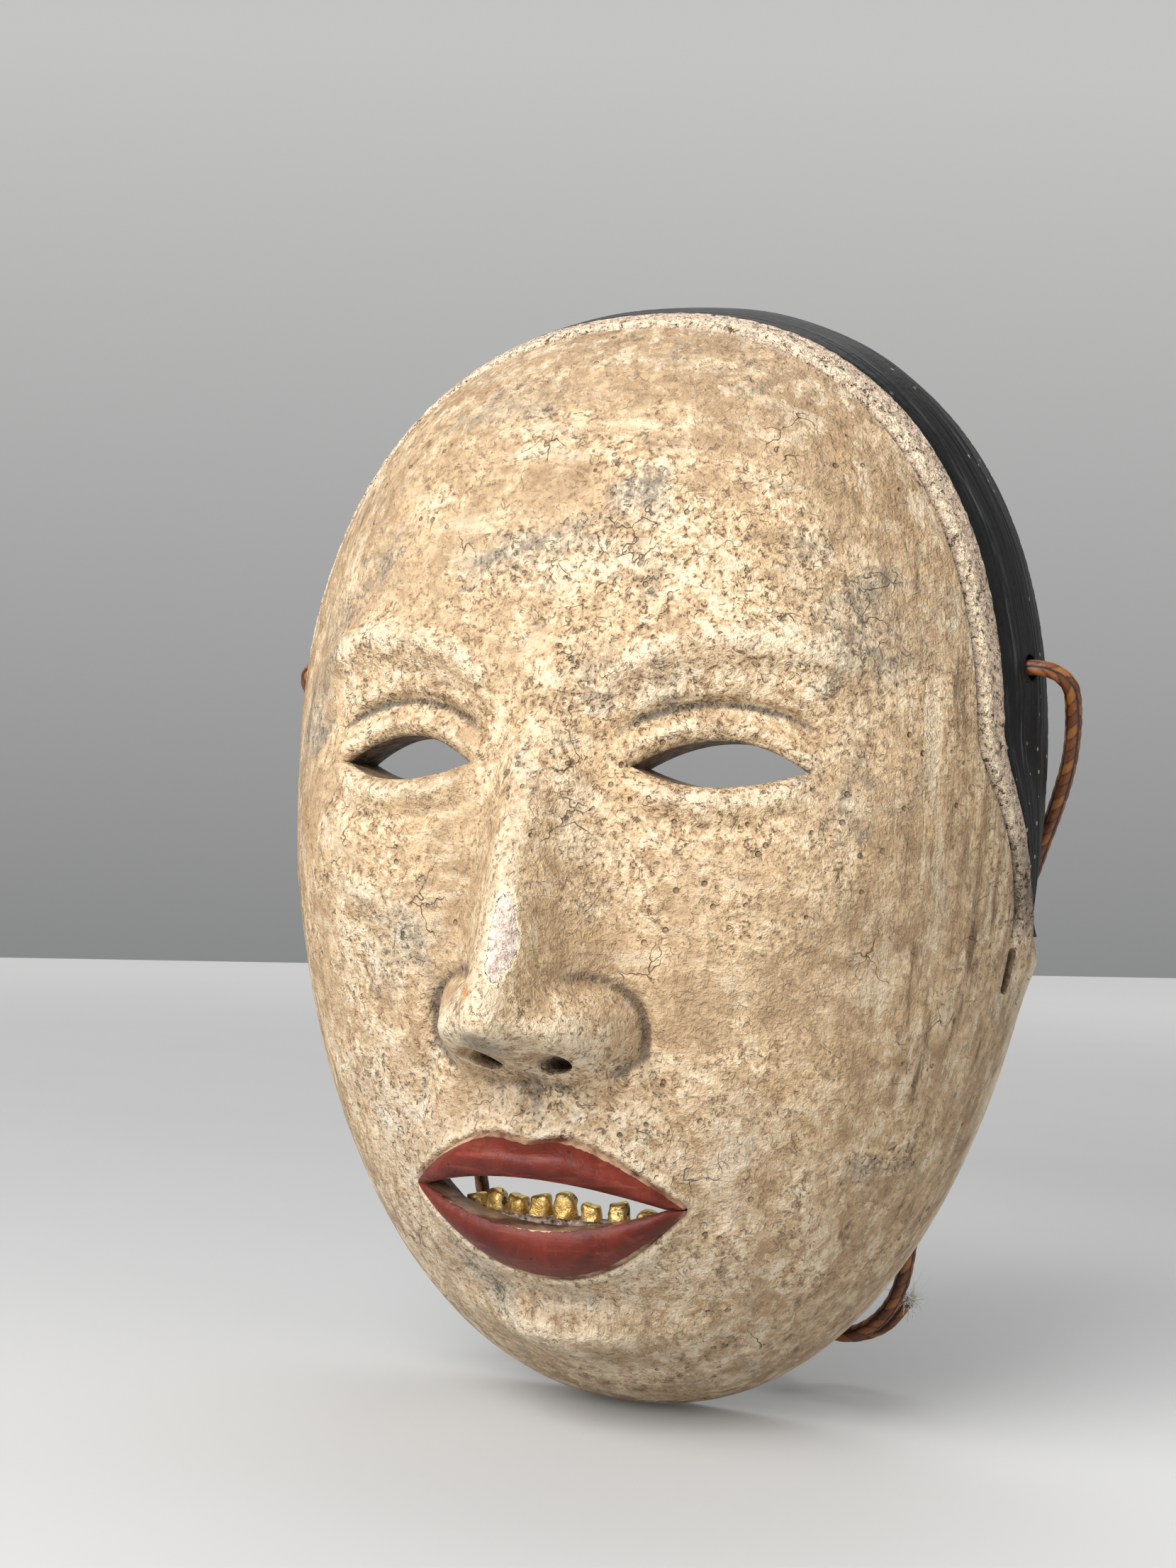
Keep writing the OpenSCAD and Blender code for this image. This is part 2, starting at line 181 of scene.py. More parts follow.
def faceOutwards(piece):
    pick(piece)
    bpy.ops.object.mode_set(mode="EDIT")
    bpy.ops.mesh.select_all(action="SELECT")
    bpy.ops.mesh.normals_make_consistent(inside=False)
    bpy.ops.object.mode_set(mode="OBJECT")


def smoothed(piece, degrees=180):
    pick(piece)
    if degrees < 180:
        bpy.ops.object.shade_smooth_by_angle(angle=math.radians(degrees))
    else:
        bpy.ops.object.shade_smooth()


def floatAttribute(piece, name, values):
    layer = piece.data.attributes.new(name, "FLOAT", "POINT")
    layer.data.foreach_set("value", np.asarray(values, dtype=np.float32))


def joined(main, *others):
    pick(main)
    for other in others:
        other.select_set(True)
    bpy.ops.object.join()
    return main


def paintAll(piece, index):
    count = len(piece.data.polygons)
    piece.data.polygons.foreach_set("material_index", np.full(count, index, dtype=np.int32))


def cutBy(piece, cutters, materials=()):
    # the cut walls take the last of the materials
    cutter = joined(*cutters)
    for material in materials:
        cutter.data.materials.append(material)
    paintAll(cutter, max(len(materials) - 1, 0))
    applied(piece, "BOOLEAN", object=cutter, operation="DIFFERENCE", solver="EXACT")
    bpy.data.objects.remove(cutter)


def named(piece, name):
    piece.name = piece.data.name = name
    return piece


def started(name, primitive, **settings):
    clearSelection()
    primitive(**settings)
    return named(bpy.context.object, name)


def lofted(name, sections, ends=None):
    # a ball whose rings are moved to the sections, its poles at the ends
    sections = np.asarray(sections, dtype=float)
    ends = ends or (sections[0].mean(axis=0), sections[-1].mean(axis=0))
    stations, sides = sections.shape[:2]
    piece = started(name, bpy.ops.mesh.primitive_uv_sphere_add, segments=sides, ring_count=stations + 1)
    co = points(piece)
    down = np.arctan2(np.hypot(co[:, 0], co[:, 1]), co[:, 2])
    ring = np.rint(down / math.pi * (stations + 1)).astype(int)
    side = np.rint(np.arctan2(co[:, 1], co[:, 0]) / math.tau * sides).astype(int) % sides
    caps = [np.tile(np.asarray(end, dtype=float), (1, sides, 1)) for end in ends]
    setPoints(piece, np.concatenate([caps[0], sections, caps[1]])[ring, side])
    faceOutwards(piece)
    return piece, ring, side


def dressed(piece, material, slot, *nodes):
    piece.data.materials.clear()
    piece.data.materials.append(material)
    if nodes:
        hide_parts(*nodes)
    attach(piece, "root")


# ---- camera: the photograph's side and framing ----
# azimuth, elevation and roll in degrees, the rest in millimetres
camera = {
    "azimuth": 23.8, "elevation": -2.0, "roll": 2.4, "distance": 398.0,
    "across": -7.2, "ahead": -22.0, "up": 11.1, "lens": 50.0, "nearest": 0.01,
}
turn, lift = math.radians(camera["azimuth"]), math.radians(camera["elevation"])
toCamera = np.array([math.sin(turn) * math.cos(lift), -math.cos(turn) * math.cos(lift), math.sin(lift)])
across = np.array([math.cos(turn), math.sin(turn), 0.0])
target = np.array([0, camera["ahead"], camera["up"]]) + across * camera["across"]
eyePoint = target + toCamera * camera["distance"]
bpy.ops.object.camera_add(location=eyePoint * mm)
view = bpy.context.object
view.name = "photoCamera"
view.data.lens = camera["lens"]
view.data.clip_start = camera["nearest"]
view.rotation_mode = "QUATERNION"
tilt = Quaternion((0, 0, 1), math.radians(camera["roll"]))
view.rotation_quaternion = Vector(toCamera).to_track_quat("Z", "Y") @ tilt
bpy.context.scene.camera = view
print("camera placed")

# ---- stage: a pale table, a grey backdrop, soft lamps; table and backdrop glow with painted light ----
# places are across, towards the camera and up from the mask's middle, in millimetres
# the table's far edge lies at other distances left and right in the picture
stage = {
    "leftEdge": 1800.0, "rightEdge": 2350.0, "front": -900.0, "frontHalf": 2600.0, "halfView": 0.27,
    "floorZ": -104.0, "wall": 3200.0, "wallHalf": 4000.0, "wallLow": -900.0, "wallHigh": 2600.0,
    "air": (0.62, 0.63, 0.64, 1), "airLevel": 0.40,
}


def inView(side, forward, up):
    return np.array([0, 0, up]) + across * side - np.array([toCamera[0], toCamera[1], 0]) * forward


def sheetOf(name, corners):
    sheet = started(name, bpy.ops.mesh.primitive_plane_add, size=2)
    order = [(-1, -1), (1, -1), (1, 1), (-1, 1)]
    co = points(sheet)
    index = [order.index((round(x), round(y))) for x, y in co[:, :2]]
    setPoints(sheet, np.asarray(corners)[index])
    return sheet


def tableFinish():
    m = Finish("table_paper")
    cloud, speck = m.noise(9, 3), m.noise(700, 3)
    away = m.vector("LENGTH", {0: m.coords}, "Value")
    # darker near the mask and lighter far off: painted light falling off across the table
    m.tone = m.mix(away.ramp(0.1, 0.7), (0.50, 0.50, 0.495), (0.56, 0.56, 0.555))
    m.over(cloud.ramp(0.3, 0.8) * 0.12 + speck.ramp(0.62, 0.75) * 0.06, (0.42, 0.425, 0.42))
    # the table glows, a little to the right near the mask and more far off: painted light lifting the shade,
    # though the table is no lamp
    side = m.vector("DOT_PRODUCT", {0: m.coords, 1: tuple(across)}, "Value")
    near = side.ramp(-0.02, 0.12) * (1.0 - away.ramp(0.18, 0.42))
    paintedGlow = m.mix(near, (0.03, 0.03, 0.03), (0.14, 0.14, 0.138))
    paintedGlow = m.mix(away.ramp(0.20, 1.5), paintedGlow, (0.37, 0.37, 0.365))
    m.shader.inputs["Emission Strength"].default_value = 1.0
    return m.finished(Base_Color=m.tone, Emission_Color=paintedGlow, Roughness=0.75)


def backdropFinish():
    m = Finish("backdrop")
    # the backdrop glows, darker towards the bottom: painted light, though the backdrop is no lamp
    rise = m.node("ShaderNodeMapRange", None, {"Value": m.upward(), "From Min": -0.3, "From Max": 1.35})
    m.tone = m.mix(rise, (0.225, 0.232, 0.23), (0.55, 0.55, 0.54))
    m.shader.inputs["Emission Strength"].default_value = 1.0
    return m.finished(Base_Color=(0.0, 0.0, 0.0), Emission_Color=m.tone, Roughness=1.0)


leftFar, rightFar = (inView(s * stage["halfView"] * d, d - camera["distance"], stage["floorZ"])
                     for s, d in ((-1, stage["leftEdge"]), (1, stage["rightEdge"])))
edge = rightFar - leftFar
near = [inView(s * stage["frontHalf"], stage["front"], stage["floorZ"]) for s in (-1, 1)]
table = sheetOf("table", [near[0], near[1], rightFar + edge * 1.5, leftFar - edge * 1.5])
table.data.materials.append(tableFinish())
low, high, wide = stage["wallLow"], stage["wallHigh"], stage["wallHalf"]
wallCorners = ((-wide, low), (wide, low), (wide, high), (-wide, high))
wall = sheetOf("backdrop", [inView(side, stage["wall"], up) for side, up in wallCorners])
wall.data.materials.append(backdropFinish())
# name, across, towards, up, size in millimetres, watts
lamps = [
    ("keyLamp", -470, 600, 440, 720, 14.5),
    ("fillLamp", 700, 600, 250, 700, 1.6),
    ("topLamp", 60, -350, 800, 600, 2.2),
]
for name, side, forward, up, size, watts in lamps:
    lampAt = inView(side, -forward, up)
    bpy.ops.object.light_add(type="AREA", location=lampAt * mm)
    lamp = bpy.context.object
    lamp.name = name
    lamp.data.size = size * mm
    lamp.data.energy = watts
    lamp.rotation_euler = Vector(-lampAt - np.array([0, 20, 0])).to_track_quat("-Z", "Y").to_euler()
world = bpy.data.worlds.new("studio")
bpy.context.scene.world = world
world.use_nodes = True
air = world.node_tree.nodes["Background"].inputs
air["Color"].default_value, air["Strength"].default_value = stage["air"], stage["airLevel"]
bpy.context.scene.view_settings.view_transform = "Standard"
print("stage set")

# ---- the mask's own sizes, as in the solid model ----
mask = {
    "height": 208.0, "width": 145.0, "dome": 60.0, "rimWall": 6.4, "domeWall": 8.0,
    "egg": 0.13, "fullness": 2.2, "roundness": 2.4, "fade": 0.09, "discZ": -24.0,
}
band = {
    "width": 21.0, "thick": 1.8, "step": 0.7, "endZ": -18.0, "fillet": 6.0, "taper": 20.0, "left": 0.3,
    "stub": 1.5, "clear": 0.15,
}
face = {
    "browZ": 30.0, "eyeZ": 13.0, "eyeX": 29.0, "eyeLength": 28.0, "eyeHeight": 8.0,
    "noseZ": -37.0, "noseOut": 21.0, "noseWing": 15.0, "chinZ": -87.0, "lidUp": 0.6, "lidDown": 0.4,
}
mouth = {
    "z": -60.0, "width": 50.0, "gap": 9.0, "upper": 7.5, "lower": 9.0, "out": 4.0,
    "archUp": 11.5, "archDown": 14.0,
}
halfW, halfH = mask["width"] / 2, mask["height"] / 2
innerW, innerH = halfW - mask["rimWall"], halfH - mask["rimWall"]
full, rounded = mask["fullness"], mask["roundness"]
eyeHalf = face["eyeLength"] / 2
eyeUp, eyeDown = face["eyeHeight"] * face["lidUp"], face["eyeHeight"] * face["lidDown"]


def soft(lo, hi, v):
    t = np.clip((v - lo) / (hi - lo), 0, 1)
    return t * t * (3 - 2 * t)


def bump(x, w):
    return np.exp(-((x / w) ** 2))


def hill(x, z, cx, cz, wx, wz):
    return bump(x - cx, wx) * bump(z - cz, wz)


def power(v, p):
    return np.sign(v) * np.abs(v) ** p


def widthAt(z):
    return 1 + mask["egg"] * z / halfH


def place(a, level, hw, hh):
    z = hh * level * power(np.cos(a), 2 / full)
    return hw * widthAt(z) * level * power(np.sin(a), 2 / full), z


def levelAt(x, z, hw, hh):
    return (np.abs(x / (hw * widthAt(z))) ** full + np.abs(z / hh) ** full) ** (1 / full)


def dome(level, deep):
    return deep * np.sqrt(np.maximum(0, 1 - level**rounded))


def rimLevel(depth):
    return (1 - (depth / mask["dome"]) ** 2) ** (1 / rounded)


def outward(a):
    d = 0.009
    xa, za = place(a - d, 1, halfW, halfH)
    xb, zb = place(a + d, 1, halfW, halfH)
    n = np.hypot(xb - xa, zb - za)
    return -(zb - za) / n, (xb - xa) / n


filletLevel = rimLevel(band["width"] + band["fillet"])
rebate = band["thick"] + band["step"]
bandEnd = math.degrees(float(np.arccos(power(np.array(band["endZ"] / halfH), full / 2))))


def pastEnd(a):
    # degrees beyond the band's end, negative where the band is
    return np.degrees(np.abs(np.arctan2(np.sin(a), np.cos(a)))) - bandEnd


def bandShare(a):
    return 1 - soft(-5, 0, pastEnd(a))


def stub(a):
    return band["stub"] * bump(pastEnd(a) + 2, 4)


def floorInset(a):
    return rebate * bandShare(a) - stub(a) * (1 - bandShare(a))


def drawnBack(depth, a):
    # the band's front edge draws back to the rim near its ends
    u = pastEnd(a)
    s = 1 - (1 - band["left"]) * (soft(-band["taper"], -3, u) - soft(4, 20, u))
    top = band["width"] + band["fillet"]
    between = depth + (top - depth) / band["fillet"] * band["width"] * (s - 1)
    return np.where(depth < band["width"], depth * s, np.where(depth < top, between, depth))


def sideX(z, depth, hw, hh, deep):
    left = (1 - (depth / deep) ** 2) ** (full / rounded) - (abs(z) / hh) ** full
    return hw * widthAt(z) * left ** (1 / full)


def wallPoint(a, depth, inset):
    x, z = place(a, rimLevel(depth), halfW, halfH)
    nx, nz = outward(a)
    return np.stack([x - inset * nx, -depth + 0 * x, z - inset * nz], axis=-1)


# ---- plain carving, the same as the solid's ----
def browArc(u):
    return face["browZ"] + 4 - 5 * ((u - face["eyeX"] - 5) / 20) ** 2


def relief(x, z):
    u = np.abs(x)
    f = face
    brow = 2.6 * bump(z - browArc(u), 6) * soft(5, 14, u) * (1 - soft(42, 56, u))
    run = np.clip((f["browZ"] - 5 - z) / (f["browZ"] - 13 - f["noseZ"]), 0, 1)
    nose = (2 + (f["noseOut"] - 2) * run**1.1) * bump(u, 6.5 + 2.5 * run)
    nose = nose * soft(f["noseZ"] - 4, f["noseZ"] + 7, z) * (1 - soft(f["browZ"] - 6, f["browZ"] + 10, z))
    low = mouth["z"] - mouth["gap"] / 2 - mouth["lower"]
    high = mouth["z"] + mouth["gap"] / 2 + mouth["upper"]
    # height, then middle and reach across and up
    hills = (
        (8, f["noseWing"] - 4, f["noseZ"] + 6, 5.5, 6.5), (5.5, f["eyeX"], f["eyeZ"] - 1, 13.5, 8),
        (-6.5, f["eyeX"], f["eyeZ"] + 4, 17, 9.5), (5, 0, mouth["z"], 26, 15), (-3, 0, low - 5, 20, 4.5),
        (-0.8, 0, high + 4, 3, 5), (6, 0, f["chinZ"], 17, 10), (3.5, 43, f["noseZ"] + 31, 17, 15),
        (1.5, 24, f["browZ"] + 30, 22, 18), (-2, 60, f["browZ"] + 14, 12, 18),
    )
    return brow + nose + sum(height * hill(u, z, *where) for height, *where in hills)


def fading(level):
    return 1 - soft(filletLevel - mask["fade"], filletLevel, level)


def skinDepth(x, z):
    level = levelAt(x, z, halfW, halfH)
    return dome(level, mask["dome"]) + relief(x, z) * fading(level)


def hollowDepth(x, z):
    u, level = np.abs(x), levelAt(x, z, innerW, innerH)
    f = face
    dip = 5.5 * hill(u, z, f["eyeX"], f["eyeZ"] + 3, 22, 15) - 6 * hill(u, z, 0, f["noseZ"] + 16, 12, 22)
    dip = dip + 3 * hill(u, z, 0, mouth["z"] - 18, 24, 9)
    return dome(level, mask["dome"] - mask["domeWall"]) - dip * (1 - soft(0.8, 0.97, level))


# ---- outlines of the openings ----
def bow(x, half, rise):
    return rise * (1 - (x / half) ** 2)


gapHalf, mouthHalf = mouth["width"] / 2 - 2.5, mouth["width"] / 2
gapUp = mouth["gap"] * 0.45
gapDown = mouth["gap"] - gapUp
slim = 0.075


def mouthTop(x):
    return mouth["z"] + bow(x, mouthHalf, gapUp + mouth["upper"]) - 1.8 * bump(x, 5) * bow(x, mouthHalf, 1)


def mouthBottom(x):
    return mouth["z"] - bow(x, mouthHalf, gapDown + mouth["lower"])


def gapTop(x):
    return mouth["z"] + np.maximum(slim, bow(x, gapHalf, gapUp))


def gapBottom(x):
    return mouth["z"] - np.maximum(slim, bow(x, gapHalf, gapDown))


def lensDistance(x, z, half, up, down):
    # how far a point lies outside an almond, negative inside it
    above = (z - bow(x, half, up)) / np.sqrt(1 + (2 * up * x / half**2) ** 2)
    below = (-z - bow(x, half, down)) / np.sqrt(1 + (2 * down * x / half**2) ** 2)
    return np.maximum(above, below), above > below


def mouthDistance(x, z):
    above = (z - mouthTop(x)) / np.sqrt(1 + (2 * mouth["archUp"] * x / mouthHalf**2) ** 2)
    below = (mouthBottom(x) - z) / np.sqrt(1 + (2 * mouth["archDown"] * x / mouthHalf**2) ** 2)
    return np.maximum(above, below)


# ---- finer carving that only the sculpted skin has ----
def waves(x, z, seed):
    # slow unevenness of hand work, between -1 and 1
    rng = np.random.default_rng(seed)
    total = 0
    for size in (34, 23, 15, 11):
        a, p = rng.uniform(0, math.tau, 2)
        total = total + np.sin((x * math.cos(a) + z * math.sin(a)) * math.tau / size + p)
    return total / 4


def lumps(x, z, seed):
    rng = np.random.default_rng(seed)
    total = 0
    for size in (6.0, 4.1, 2.9, 2.0, 1.4, 1.0):
        a, p, q = rng.uniform(0, math.tau, 3)
        along, aside = x * math.cos(a) + z * math.sin(a), z * math.cos(a) - x * math.sin(a)
        row = np.sin(along * math.tau / size + p) * np.sin(aside * math.tau / size * 0.8 + q)
        total = total + size**0.6 * row
    return total / 4


def roll(d, r):
    # drop of a rounded edge of radius r, at distance d from the cut
    t = np.clip(d, 0, r)
    return r - np.sqrt(np.maximum(0, r * r - (r - t) ** 2))


def fineCarving(x, z):
    u = np.abs(x)
    f = face
    # lids: rounded edges, a crease above and a softer one below
    d, upper = lensDistance(u - f["eyeX"], z - f["eyeZ"], eyeHalf, eyeUp, eyeDown)
    along = 1 - soft(0.8, 1.35, np.abs(u - f["eyeX"]) / eyeHalf)
    upperLid = 0.9 * bump(d - 2.6, 1.3) - 1.5 * bump(d - 6.2, 1.0) + 0.7 * bump(d - 8.0, 1.6)
    lowerLid = 0.5 * bump(d - 2.4, 1.2) - 0.8 * bump(d - 6.4, 1.5)
    lids = -roll(d, np.where(upper, 2.4, 1.9)) + along * np.where(upper, upperLid, lowerLid)
    # nose: rounded tip, creased wings, nostrils on the underside
    wing = np.hypot((u - f["noseWing"] + 4.5), (z - f["noseZ"] - 6.5) * 1.05)
    behind = soft(-2, 3, u - f["noseWing"] + 5 + 0.45 * (z - f["noseZ"] - 6))
    nose = 1.4 * hill(u, z, 0, f["noseZ"] + 10.5, 6.5, 6.5) - 1.5 * bump(wing - 8.7, 1.6) * behind
    nose = nose + 1.0 * hill(u, z, f["noseWing"] - 5.2, f["noseZ"] + 4.2, 4.2, 4.0)
    nostril = np.hypot((u - 6.4) / 3.6, (z - f["noseZ"] - 0.9 - 0.12 * (u - 6.4)) / 1.9)
    nose = nose - 7.5 * (1 - soft(0.45, 1.12, nostril))
    # lip border, philtrum ridges, mouth corners, a faint fold beside the nose
    m = mouthDistance(x, z)
    lips = 0.75 * bump(m - 1.3, 1.2) - 0.5 * bump(m, 0.7)
    lips = lips + 0.5 * bump(u - 3.4, 1.3) * bump(z - mouth["z"] - 16.5, 4.5)
    lips = lips - 1.3 * hill(u, z, mouthHalf + 2.4, mouth["z"] - 0.4, 3.2, 4.2)
    fold = u - (f["noseWing"] + 3.5 + 0.012 * (f["noseZ"] + 12 - z) ** 2)
    lips = lips - 1.0 * bump(fold, 2.0) * soft(-58, -48, z) * (1 - soft(-30, -22, z))
    # brow ridge: crisper under its edge
    above = z - browArc(u)
    brow = 0.9 * (bump(above - 1.5, 2.6) - bump(above + 4.2, 2.2)) * soft(8, 18, u) * (1 - soft(44, 58, u))
    return lids + nose + lips + brow


def unevenness(x, z):
    return 0.16 * waves(x, z, 5)


def carvedDepth(x, z):
    fine = fineCarving(x, z) * fading(levelAt(x, z, halfW, halfH))
    return skinDepth(x, z) + fine + unevenness(x, z) + 0.09 * lumps(x * 0.6, z * 0.6, 41)


# ---- tie cord: the same points as in the solid model ----
cord = {"radius": 1.5, "columns": 4, "pitch": 2.7, "sides": 36, "step": 0.2, "knotStep": 0.22}
hole = {"z": 34.0, "depth": 11.0, "diameter": 4.6}
holeOut = sideX(hole["z"], hole["depth"], halfW, halfH, mask["dome"])
holeIn = sideX(hole["z"], hole["depth"], innerW, innerH, mask["dome"] - mask["domeWall"])
knotAt = np.array([20.0, 23.0, -91.6])
# out of the hole, from its mouth, then down beside the mask, in shares of its half width
hang = [(holeIn - 0.2, -11, 34)]
hang += [(holeOut + out, y, z) for out, y, z in (
    (-0.1, -11, 34), (2.9, -10.4, 33.5), (5.1, -8.9, 32), (5.9, -6.6, 29.6), (5.2, -1.5, 24.2),
    (3.6, 3.6, 18.2), (1, 8, 11.5), (-1.9, 11, 4.5))]
hang += [(share * halfW, y, z) for share, y, z in (
    (0.918, 13.2, -2.8), (0.865, 15, -11), (0.80, 16, -21), (0.745, 16.5, -35), (0.69, 17, -50),
    (0.65, 17.5, -62), (0.625, 18, -72), (0.60, 19, -81))]
rightRoute = hang + [(0.545 * halfW, 20.5, -87.8), (0.46 * halfW, 22, -92), (26.2, 23, -92.2)]
leftRoute = [(-x, y, z) for x, y, z in hang]
leftRoute += [(share * halfW, y, z) for share, y, z in (
    (-0.54, 20.5, -88.2), (-0.44, 22, -92), (-0.27, 23, -93.4), (-0.08, 23.6, -93.4))]
leftRoute += [(8, 23.4, -92.8), (13.8, 23, -92.2)]


def curveThrough(route, step):
    # the solid model's spline, walked in even steps
    p = np.asarray(route, dtype=float)
    fine = []
    for i in range(len(p) - 1):
        a, b, c, d = p[max(i - 1, 0)], p[i], p[i + 1], p[min(i + 2, len(p) - 1)]
        t = np.linspace(0, 1, 40)[:-1, None]
        fine.append(b + t / 2 * ((c - a) + t * ((2 * a - 5 * b + 4 * c - d) + t * (3 * (b - c) + d - a))))
    fine = np.concatenate(fine + [p[-1:]])
    walked = np.r_[0, np.cumsum(np.linalg.norm(np.diff(fine, axis=0), axis=1))]
    even = np.linspace(0, walked[-1], max(8, round(walked[-1] / step)))
    return np.stack([np.interp(even, walked, fine[:, k]) for k in range(3)], axis=1), even


def framesAlong(path):
    # a frame carried along the path without twist
    tangent = np.gradient(path, axis=0)
    tangent /= np.linalg.norm(tangent, axis=1)[:, None]
    first = np.cross(tangent[0], (0, 1, 0.01))
    sides = [first / np.linalg.norm(first)]
    for t in tangent[1:]:
        u = sides[-1] - t * np.dot(sides[-1], t)
        sides.append(u / np.linalg.norm(u))
    u = np.array(sides)
    return u, np.cross(tangent, u)


def braid(along, around, seed):
    # plump lozenges, leaning left and right by turns: height 0 to 1, and a shade for each
    column = around / math.tau * cord["columns"]
    n = np.floor(column)
    u = column - n - 0.5
    v = along / cord["pitch"] + np.where(n % 2 == 0, 1, -1) * u * 0.9 + 0.5 * (n % 2)
    w = v - np.floor(v) - 0.5
    height = np.sqrt(np.clip(1 - (2 * u) ** 2, 0, 1) * np.clip(1 - (1.9 * w) ** 2, 0, 1))
    shade = np.sin((np.floor(v) * 12.9898 + n * 78.233 + seed) * 43.7)
    return height**0.7, shade * 0.5 + 0.5


def braidedCord(name, path, along, radius, seed, taper=0.0):
    u, v = framesAlong(path)
    around = np.arange(cord["sides"]) * math.tau / cord["sides"]
    height, shade = braid(along[:, None], around[None, :], seed)
    r = radius * (0.80 + 0.20 * height + 0.015 * np.sin(along[:, None] / 3 + seed))
    if taper:
        r = r * np.sqrt(np.clip((along[-1] - along[:, None]) / taper, 0.3, 1))
    turned = np.cos(around)[None, :, None] * u[:, None] + np.sin(around)[None, :, None] * v[:, None]
    ring = path[:, None, :] + r[..., None] * turned
    piece, station, side = lofted(name, ring, (path[0], path[-1]))
    for label, grid in (("strand", height), ("shade", shade)):
        floatAttribute(piece, label, np.pad(grid, ((1, 1), (0, 0)))[station, side])
    smoothed(piece)
    return piece


def cordFinish():
    m = Finish("braided_cord")
    strand, shade = m.attribute("strand"), m.attribute("shade")
    fibre = m.noise(900, 4, 0.7)
    # dark between the strands and bright on their tops: painted shade in the gaps over the cord's rust colour
    m.tone = m.mix(strand.ramp(0.35, 0.90), (0.014, 0.004, 0.001), (0.185, 0.052, 0.010))
    m.over(shade.ramp(0.5, 1.0) * strand * 0.6, (0.40, 0.145, 0.028))
    m.over((1.0 - shade).ramp(0.6, 1.0) * 0.6, (0.085, 0.020, 0.004))
    # pale streaks along the fibres on the strand tops: painted highlight
    m.over(fibre.ramp(0.52, 0.75) * strand * 0.45, (0.52, 0.22, 0.055))
    return m.finished(Base_Color=m.tone, Roughness=fibre * 0.25 + 0.32, Normal=m.height(fibre, 0.00015))


cordMaterial = cordFinish()


def knotOf(name, middle, scale, order, radius, seed):
    # a trefoil with its two ends a little apart
    t = np.linspace(0.06, math.tau - 0.06, 120)
    loop = np.c_[np.sin(t) + 2 * np.sin(2 * t), np.cos(t) - 2 * np.cos(2 * t), -np.sin(3 * t)] * scale
    path, along = curveThrough((middle + loop[:, order])[::2], cord["knotStep"])
    return braidedCord(name, path, along, radius, seed)


tieKnot = knotOf("tie_knot", knotAt, (1.45, 0.98, 1.5), [0, 2, 1], 1.35, 3)
tails = [[(0, 2, 0), (4, 5.5, -2), (11, 7.5, -2.6), (18, 6, 0.5), (23, 3.5, 6.5)],
         [(0, 2, 0), (-3, 7, -2.4), (-8, 10.5, -6), (-13, 11, -9.5)]]
tailPieces = []
for i, tail in enumerate(tails):
    path, along = curveThrough(knotAt + np.array(tail), cord["knotStep"])
    tailPieces.append(braidedCord("tail", path, along, 1.4, 5 + i, taper=0.8))


# the frayed end of the longer tail: loose pale fibres
hairRadius = 0.16


def tuft(tip, heading, count, seed):
    rng = np.random.default_rng(seed)
    hairs = []
    for _ in range(count):
        away = heading + rng.normal(0, 0.75, 3)
        away /= np.linalg.norm(away)
        curl, long = rng.normal(0, 0.8, 3), rng.uniform(0.9, 2.6)
        t = np.linspace(0, 1, 6)[:, None]
        line = tip + rng.normal(0, 0.5, 3) + long * (t * away + t * t * curl)
        spin = np.arange(4) * math.tau / 4
        ring = np.stack([np.cos(spin), np.sin(spin), np.sin(spin + 1)], axis=1) * hairRadius
        hair, *_ = lofted("hair", line[:, None, :] + ring[None] * (1.1 - t[:, :, None]), (line[0], line[-1]))
        hairs.append(hair)
    return joined(*hairs)


tailEnd = knotAt + np.array(tails[0][-1])
frayed = named(tuft(tailEnd, np.array([0.25, -0.6, 0.7]), 150, 11), "frayed_end")
smoothed(frayed)
dressed(frayed, Finish("frayed_fibre").finished(Base_Color=(0.88, 0.86, 0.82), Roughness=0.8), "cord")
tieKnot = joined(tieKnot, *tailPieces)
dressed(tieKnot, cordMaterial, "cord", "tie_knot")
stoppers = {}
for name, side in (("left_tie_cord", -1), ("right_tie_cord", 1)):
    middle = np.array([side * (holeIn - 2.9), -hole["depth"], hole["z"]])
    stoppers[name] = knotOf("stopper_knots", middle, (0.95, 0.95, 1.3), [2, 0, 1], 1.15, 8 + side)
    dressed(stoppers[name], cordMaterial, "cord", "stopper_knots")
for name, route, seed in (("right_tie_cord", rightRoute, 1), ("left_tie_cord", leftRoute, 2)):
    path, along = curveThrough(route, cord["step"])
    piece = braidedCord(name, path, along, cord["radius"], seed)
    dressed(piece, cordMaterial, "cord", name)
    print(name, round(along[-1], 1), "mm long")

# ---- finishes of the shell ----
gesso = {
    "cream": (0.64, 0.465, 0.280), "pale": (0.80, 0.68, 0.50), "tan": (0.31, 0.200, 0.108),
    "speck": (0.115, 0.068, 0.037), "grimeAndShade": (0.080, 0.053, 0.034), "oldGrimeAndShade": (0.118, 0.103, 0.082),
    "slate": (0.165, 0.158, 0.135), "ochre": (0.52, 0.31, 0.11), "ash": (0.52, 0.475, 0.40),
    "bare": (0.78, 0.655, 0.575), "bareDark": (0.56, 0.43, 0.35), "orange": (0.62, 0.24, 0.07),
    "fillet": (0.74, 0.565, 0.425), "inlay": (0.92, 0.77, 0.52), "rough": 0.43, "specular": 0.3,
}
# spots on the nose: place across and up, half sizes in millimetres, and lean in degrees
wear = {
    "chip": (1.5, -15.5, 2.1, 7.0, -5),
    "orangeSpot": (-3.4, -24.5, 1.3, 1.6, 0),
    "dark": (-1.5, -33.0, 5.5, 3.2, 0),
}


